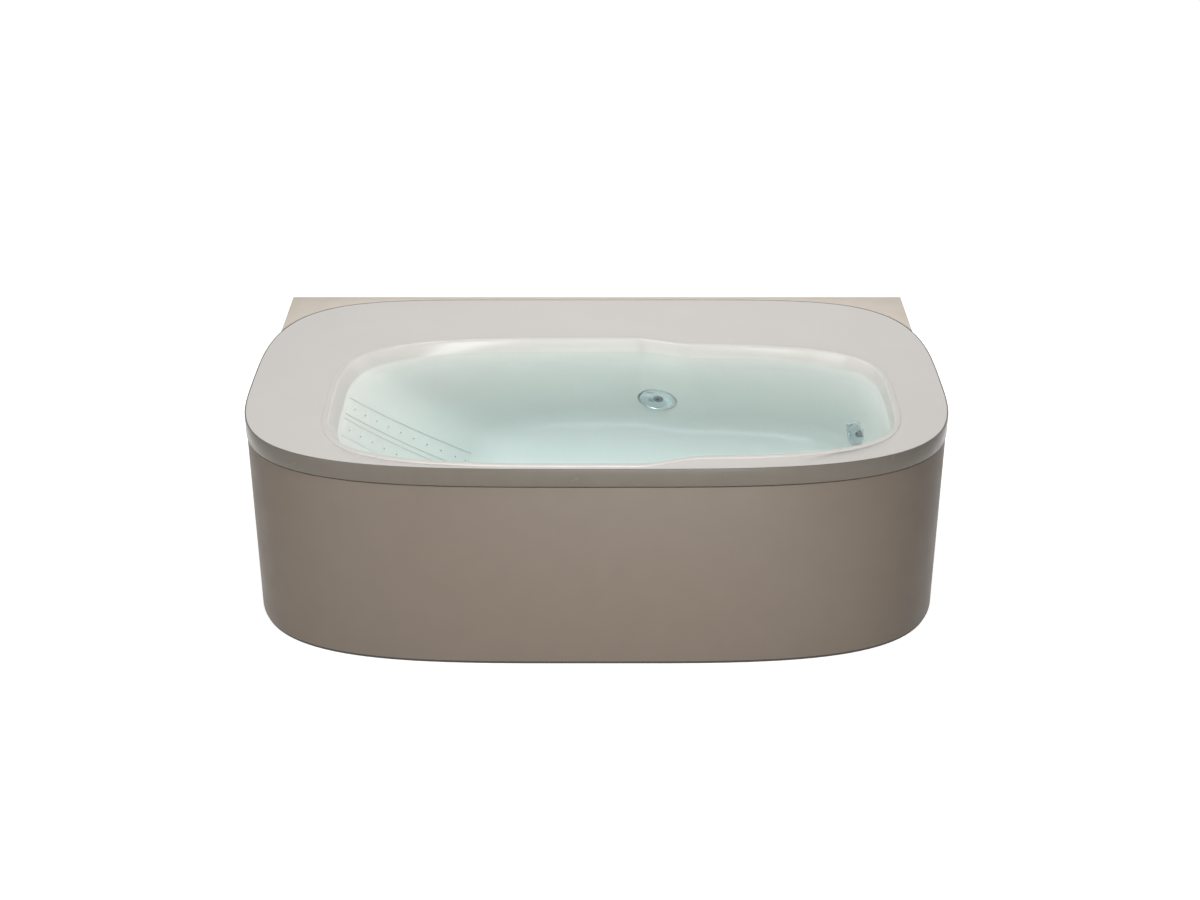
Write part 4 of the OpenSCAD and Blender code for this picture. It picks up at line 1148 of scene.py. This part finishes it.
@dataclass
class Surround:
    """Satin skirt under the band, plinth set back under it, and the boards along the wall."""

    count: int = 320
    end_y: float = 0.296
    inset: float = 0.002
    thick: float = 0.008
    low: float = 0.009
    top: float = 0.538

    def path(self) -> list[float]:
        """Parameter angles from the right end, round the front, to the left end."""
        low = halve(0.0, 90.0, lambda turn: DECK.point(turn, self.inset, 0).y < self.end_y)
        return DECK.turns(self.count, low, -180.0 - low) + [-180.0 - low]

    def skirt(self) -> None:
        """Models the skirt by carrying its section round the front of the tub."""
        front, back, top = self.inset, self.inset + self.thick, self.top
        section = [
            (front, self.low), (front, top - 0.0016), (front + 0.0003, top - 0.0008),
            (front + 0.0008, top - 0.0003), (front + 0.0016, top), (back, top), (back, self.low),
        ]
        rings = [[DECK.point(turn, inset, z) for inset, z in section] for turn in self.path()]
        piece = extrude_through("skirt_panel", rings)
        smooth(piece, 40.0)
        dress(piece, SKIRT_TAUPE, "body", ["front_skirt"])

    def build(self) -> None:
        """Models the skirt and softens the boards."""
        self.skirt()
        soft_copy("plinth", 0.6)
        for node in ("infill_top", "infill_side_left", "infill_side_right"):
            soft_copy(node, 1.0)


@dataclass
class Jets:
    """Four jets: a turning rosette and a ball nozzle each."""

    radius: float = 56.0
    sleeve: float = 25.95
    face: float = 5.5
    ball: float = 16.0
    nozzle: float = 6.5
    gap: float = 0.3

    def rosette_profile(self) -> list[tuple[float, float]]:
        """Section of the rosette: sleeve, bezel, dish and socket."""
        r, z, s = self.radius, self.face, self.ball + self.gap
        bezel = [
            (r - 1.0, z), (r - 0.3, z + 0.5), (r, z + 1.5), (r - 0.2, z + 2.9), (r - 0.9, z + 4.3),
            (r - 2.1, z + 5.5), (r - 3.6, z + 6.4), (r - 5.2, z + 6.9), (r - 6.8, z + 6.9),
            (r - 8.2, z + 6.4), (r - 9.2, z + 5.5), (r - 9.8, z + 4.7), (r - 11.0, z + 4.3),
        ]
        slope = [(0.72, 3.2), (0.62, 1.9), (0.51, 0.75), (0.4, 0.0), (0.34, -0.35)]
        dish = [(share * r, z + up) for share, up in slope]
        rim = z - 0.6
        mouth = math.asin(rim / s)
        neck = -math.acos((self.ball - 3) / s)
        angles = (mouth + (neck - mouth) * i / 12 for i in range(13))
        socket = [(s * math.cos(a), s * math.sin(a)) for a in angles]
        tail = [(self.ball - 3, -12.0), (s, -12.0), (s, -13.0), (self.sleeve, -13.0), (self.sleeve, z)]
        return bezel + dish + [(0.3 * r, rim)] + socket + tail

    def ball_profile(self) -> list[tuple[float, float]]:
        """Section of the ball, with the nozzle's bore and its mouth."""
        low = math.asin(-math.sqrt(1 - (self.nozzle / self.ball) ** 2))
        top = math.radians(59.4)
        angles = (top + (low - top) * i / 24 for i in range(25))
        skin = [(self.ball * math.cos(a), self.ball * math.sin(a)) for a in angles]
        return skin + [(self.nozzle, 0.72 * self.ball - 0.4), (self.nozzle + 0.1, 0.72 * self.ball + 0.1)]

    def build(self) -> None:
        """Models the pieces of every jet at its place."""
        for jet in JetPlace:
            name = jet.value[0]
            ring = spin_profile("rosette_" + name, self.rosette_profile(), jet.seat)
            smooth(ring, 40.0)
            dress(ring, CHROME, "ring_" + name, ["jet_rosette_" + name])
            ball = spin_profile("nozzle_ball_" + name, self.ball_profile(), jet.seat, 64)
            smooth(ball, 40.0)
            dress(ball, NOZZLE_GREY, "nozzle_" + name, ["jet_ball_" + name])


def soft_copy(node: str, bevel_mm: float) -> None:
    """Shows a node by a merged copy with rounded edges, smooth shading and its slot's finish.

    Args:
        node: CAD node.
        bevel_mm: Width of the rounding, 0 for none.
    """
    source = frame["nodes"][node]
    piece = bpy.data.objects.new(node + "_skin", source.data.copy())
    bpy.context.scene.collection.objects.link(piece)
    clear_selection()
    piece.select_set(True)
    bpy.context.view_layer.objects.active = piece
    bpy.ops.object.mode_set(mode="EDIT")
    bpy.ops.mesh.select_all(action="SELECT")
    bpy.ops.mesh.remove_doubles(threshold=0.00001)
    bpy.ops.mesh.dissolve_limited(angle_limit=math.radians(0.4))
    bpy.ops.mesh.select_all(action="SELECT")
    bpy.ops.mesh.normals_make_consistent(inside=False)
    bpy.ops.object.mode_set(mode="OBJECT")
    if bevel_mm:
        soften(piece, bevel_mm)
    smooth(piece, 32.0)
    dress(piece, SLOT_FINISH[SLOT_OF[node]], BODY_OF[node], [node])


def body_by_node() -> dict[str, str]:
    """Reads which body every CAD node belongs to."""
    bodies = frame["record"]["behaviour"]["bodies"]
    return {node: body for body, nodes in bodies.items() for node in nodes}


BODY_OF = body_by_node()
SLOT_OF = {part["node"]: part["material_slot"] for part in frame["record"]["subparts"]}

SLOT_FINISH = {
    "basin_acrylic": ACRYLIC, "deck_gloss": DECK_GREY, "band_gloss": BAND_TAUPE, "skirt_satin": SKIRT_TAUPE,
    "plinth_dark": PLINTH_DARK, "infill_beige": INFILL_BEIGE, "board": PLYWOOD,
    "galvanised_steel": GALVANISED, "zinc_plated": ZINC_PLATED, "black_rubber": RUBBER, "chrome": CHROME,
    "dark_plastic": NOZZLE_GREY,
    "pipe_white": PVC_WHITE, "hose_grey": HOSE_GREY, "pump_plastic": PUMP_BLACK, "rotor_steel": ROTOR_STEEL,
    "motor_aluminium": MOTOR_GREY, "button_cap": BUTTON_WHITE, "box_plastic": BOX_GREY,
}


@dataclass
class SoftNodes:
    """Nodes that are shown by copies with rounded edges.

    Attributes:
        rounding_mm: Width of the rounding by node, 0 for none.
    """

    rounding_mm: dict[str, float]

    def build(self) -> None:
        """Softens every node of the group."""
        for node, width in self.rounding_mm.items():
            soft_copy(node, width)


# fittings of the wall and the floor
FITTINGS = SoftNodes({
    "waste_flange": 0.3, "waste_plug": 0.3, "overflow_knob": 0.5, "suction_grille": 0.4, "button_socket": 0.3,
    "start_button": 0.3,
})
# everything behind the skirt: frame, boards, pipes, pump, blower and control box
MACHINERY = SoftNodes({
    "deck_core": 0.4, "wall_rail": 0.4, "base_board": 0.5, "base_frame": 0.8, "deck_posts": 0.8,
    "skirt_brackets": 0.3, "pump_base": 0.4, "frame_screws": 0, "levelling_studs": 0, "lock_nuts": 0.4,
    "foot_pads": 0.5, "jet_gaskets": 0, "lip_seal": 0, "waste_seal": 0, "power_gland": 0.3,
    "jet_housings": 0, "jet_nuts": 0.4, "air_channels": 0.4, "waste_body": 0, "drain_pipe": 0,
    "overflow_body": 0.4, "overflow_pipe": 0, "suction_body": 0, "suction_pipe": 0, "jet_pipes": 0,
    "jet_fittings": 0, "air_hose": 0, "blower_case": 0.6, "blower_wheel": 0, "pump_volute": 0.8,
    "pump_rotor": 0, "pump_motor": 0.6, "control_box": 1.5,
})


@dataclass(frozen=True)
class Lamp:
    """One rectangular soft lamp.

    Attributes:
        name: Name of the lamp.
        place: Where it hangs.
        target: Point that it faces.
        size: Width and height.
        watts: Power.
    """

    name: str
    place: Point
    target: Point
    size: tuple[float, float]
    watts: float

    def build(self) -> None:
        """Hangs the lamp and aims it."""
        clear_selection()
        bpy.ops.object.light_add(type="AREA", location=self.place)
        lamp = bpy.context.object
        lamp.name = self.name
        lamp.data.shape = "RECTANGLE"
        lamp.data.size, lamp.data.size_y = self.size
        lamp.data.energy = self.watts
        lamp.rotation_euler = (Vector(self.target) - Vector(self.place)).to_track_quat("-Z", "Y").to_euler()


@dataclass
class Studio:
    """Seamless white studio with large soft lamps and the photograph's camera."""

    camera_place: Point = (0.0094, -4.807, 2.8905)
    camera_down: float = 0.485
    lens: float = 57.516
    film: float = 36.0
    fill_level: float = 0.02
    floor_size: float = 60.0
    floor_z: float = -0.0005
    lamps: tuple[Lamp, ...] = (
        Lamp("back_high", (0.0, 2.2, 3.6), (0.0, 0.0, 0.4), (3.6, 1.6), 46.0),
        Lamp("overhead", (-0.2, -0.7, 3.4), (0.0, 0.0, 0.4), (2.0, 2.0), 46.0),
        Lamp("right_high", (2.6, 0.9, 2.2), (-0.8, -0.1, 0.45), (1.8, 1.8), 12.0),
        Lamp("front_left", (-3.0, -4.4, 1.6), (0.0, 0.0, 0.3), (3.0, 2.2), 89.0),
        Lamp("front_low", (0.3, -2.6, 0.6), (0.1, -0.5, 0.25), (1.2, 0.8), 27.0),
    )

    def camera(self) -> None:
        """Places the camera where the photograph was taken from."""
        clear_selection()
        tilt = math.pi / 2 - self.camera_down
        bpy.ops.object.camera_add(location=self.camera_place, rotation=(tilt, 0.0, 0.0))
        shot = bpy.context.object
        shot.data.lens = self.lens
        shot.data.sensor_width = self.film
        bpy.context.scene.camera = shot

    def floor(self) -> None:
        """Adds the seamless floor."""
        clear_selection()
        bpy.ops.mesh.primitive_plane_add(size=self.floor_size, location=(0, 0, self.floor_z))
        floor = bpy.context.object
        floor.name = "studio_floor"
        floor.data.materials.append(PAPER.build())

    def world(self) -> None:
        """Sets a white surround for the camera and a soft grey one for the light."""
        world = bpy.data.worlds.new("studio")
        bpy.context.scene.world = world
        world.use_nodes = True
        tree = world.node_tree
        tree.nodes.clear()
        seen = add(tree, "ShaderNodeBackground", {"Color": linear("FFFFFF"), "Strength": 1.0})
        light = add(tree, "ShaderNodeBackground", {"Color": linear("FFFFFF"), "Strength": self.fill_level})
        both = add(tree, "ShaderNodeMixShader", n0=background_rays(tree), n1=light, n2=seen)
        add(tree, "ShaderNodeOutputWorld", Surface=both)

    def build(self) -> None:
        """Sets up the camera, lamps, floor and surround."""
        self.camera()
        self.floor()
        self.world()
        for lamp in self.lamps:
            lamp.build()
        bpy.context.scene.view_settings.view_transform = "Standard"


def dress_frame() -> None:
    """Gives every CAD node the finish of its slot."""
    for name, node in frame["nodes"].items():
        material = SLOT_FINISH[SLOT_OF[name]].build()
        for i in range(len(node.data.materials)):
            node.data.materials[i] = material
        if not node.data.materials:
            node.data.materials.append(material)


def main() -> None:
    """Builds the tub's looks, part by part."""
    logging.basicConfig(level=logging.INFO, format="%(name)s: %(message)s")
    dress_frame()
    hidden = [MACHINERY]
    for part in (Basin(), AirStrips(), Water(), Deck(), Surround(), Jets(), FITTINGS, *hidden, Studio()):
        part.build()
        LOG.info("%s built", type(part).__name__)


if __name__ == "__main__":
    main()
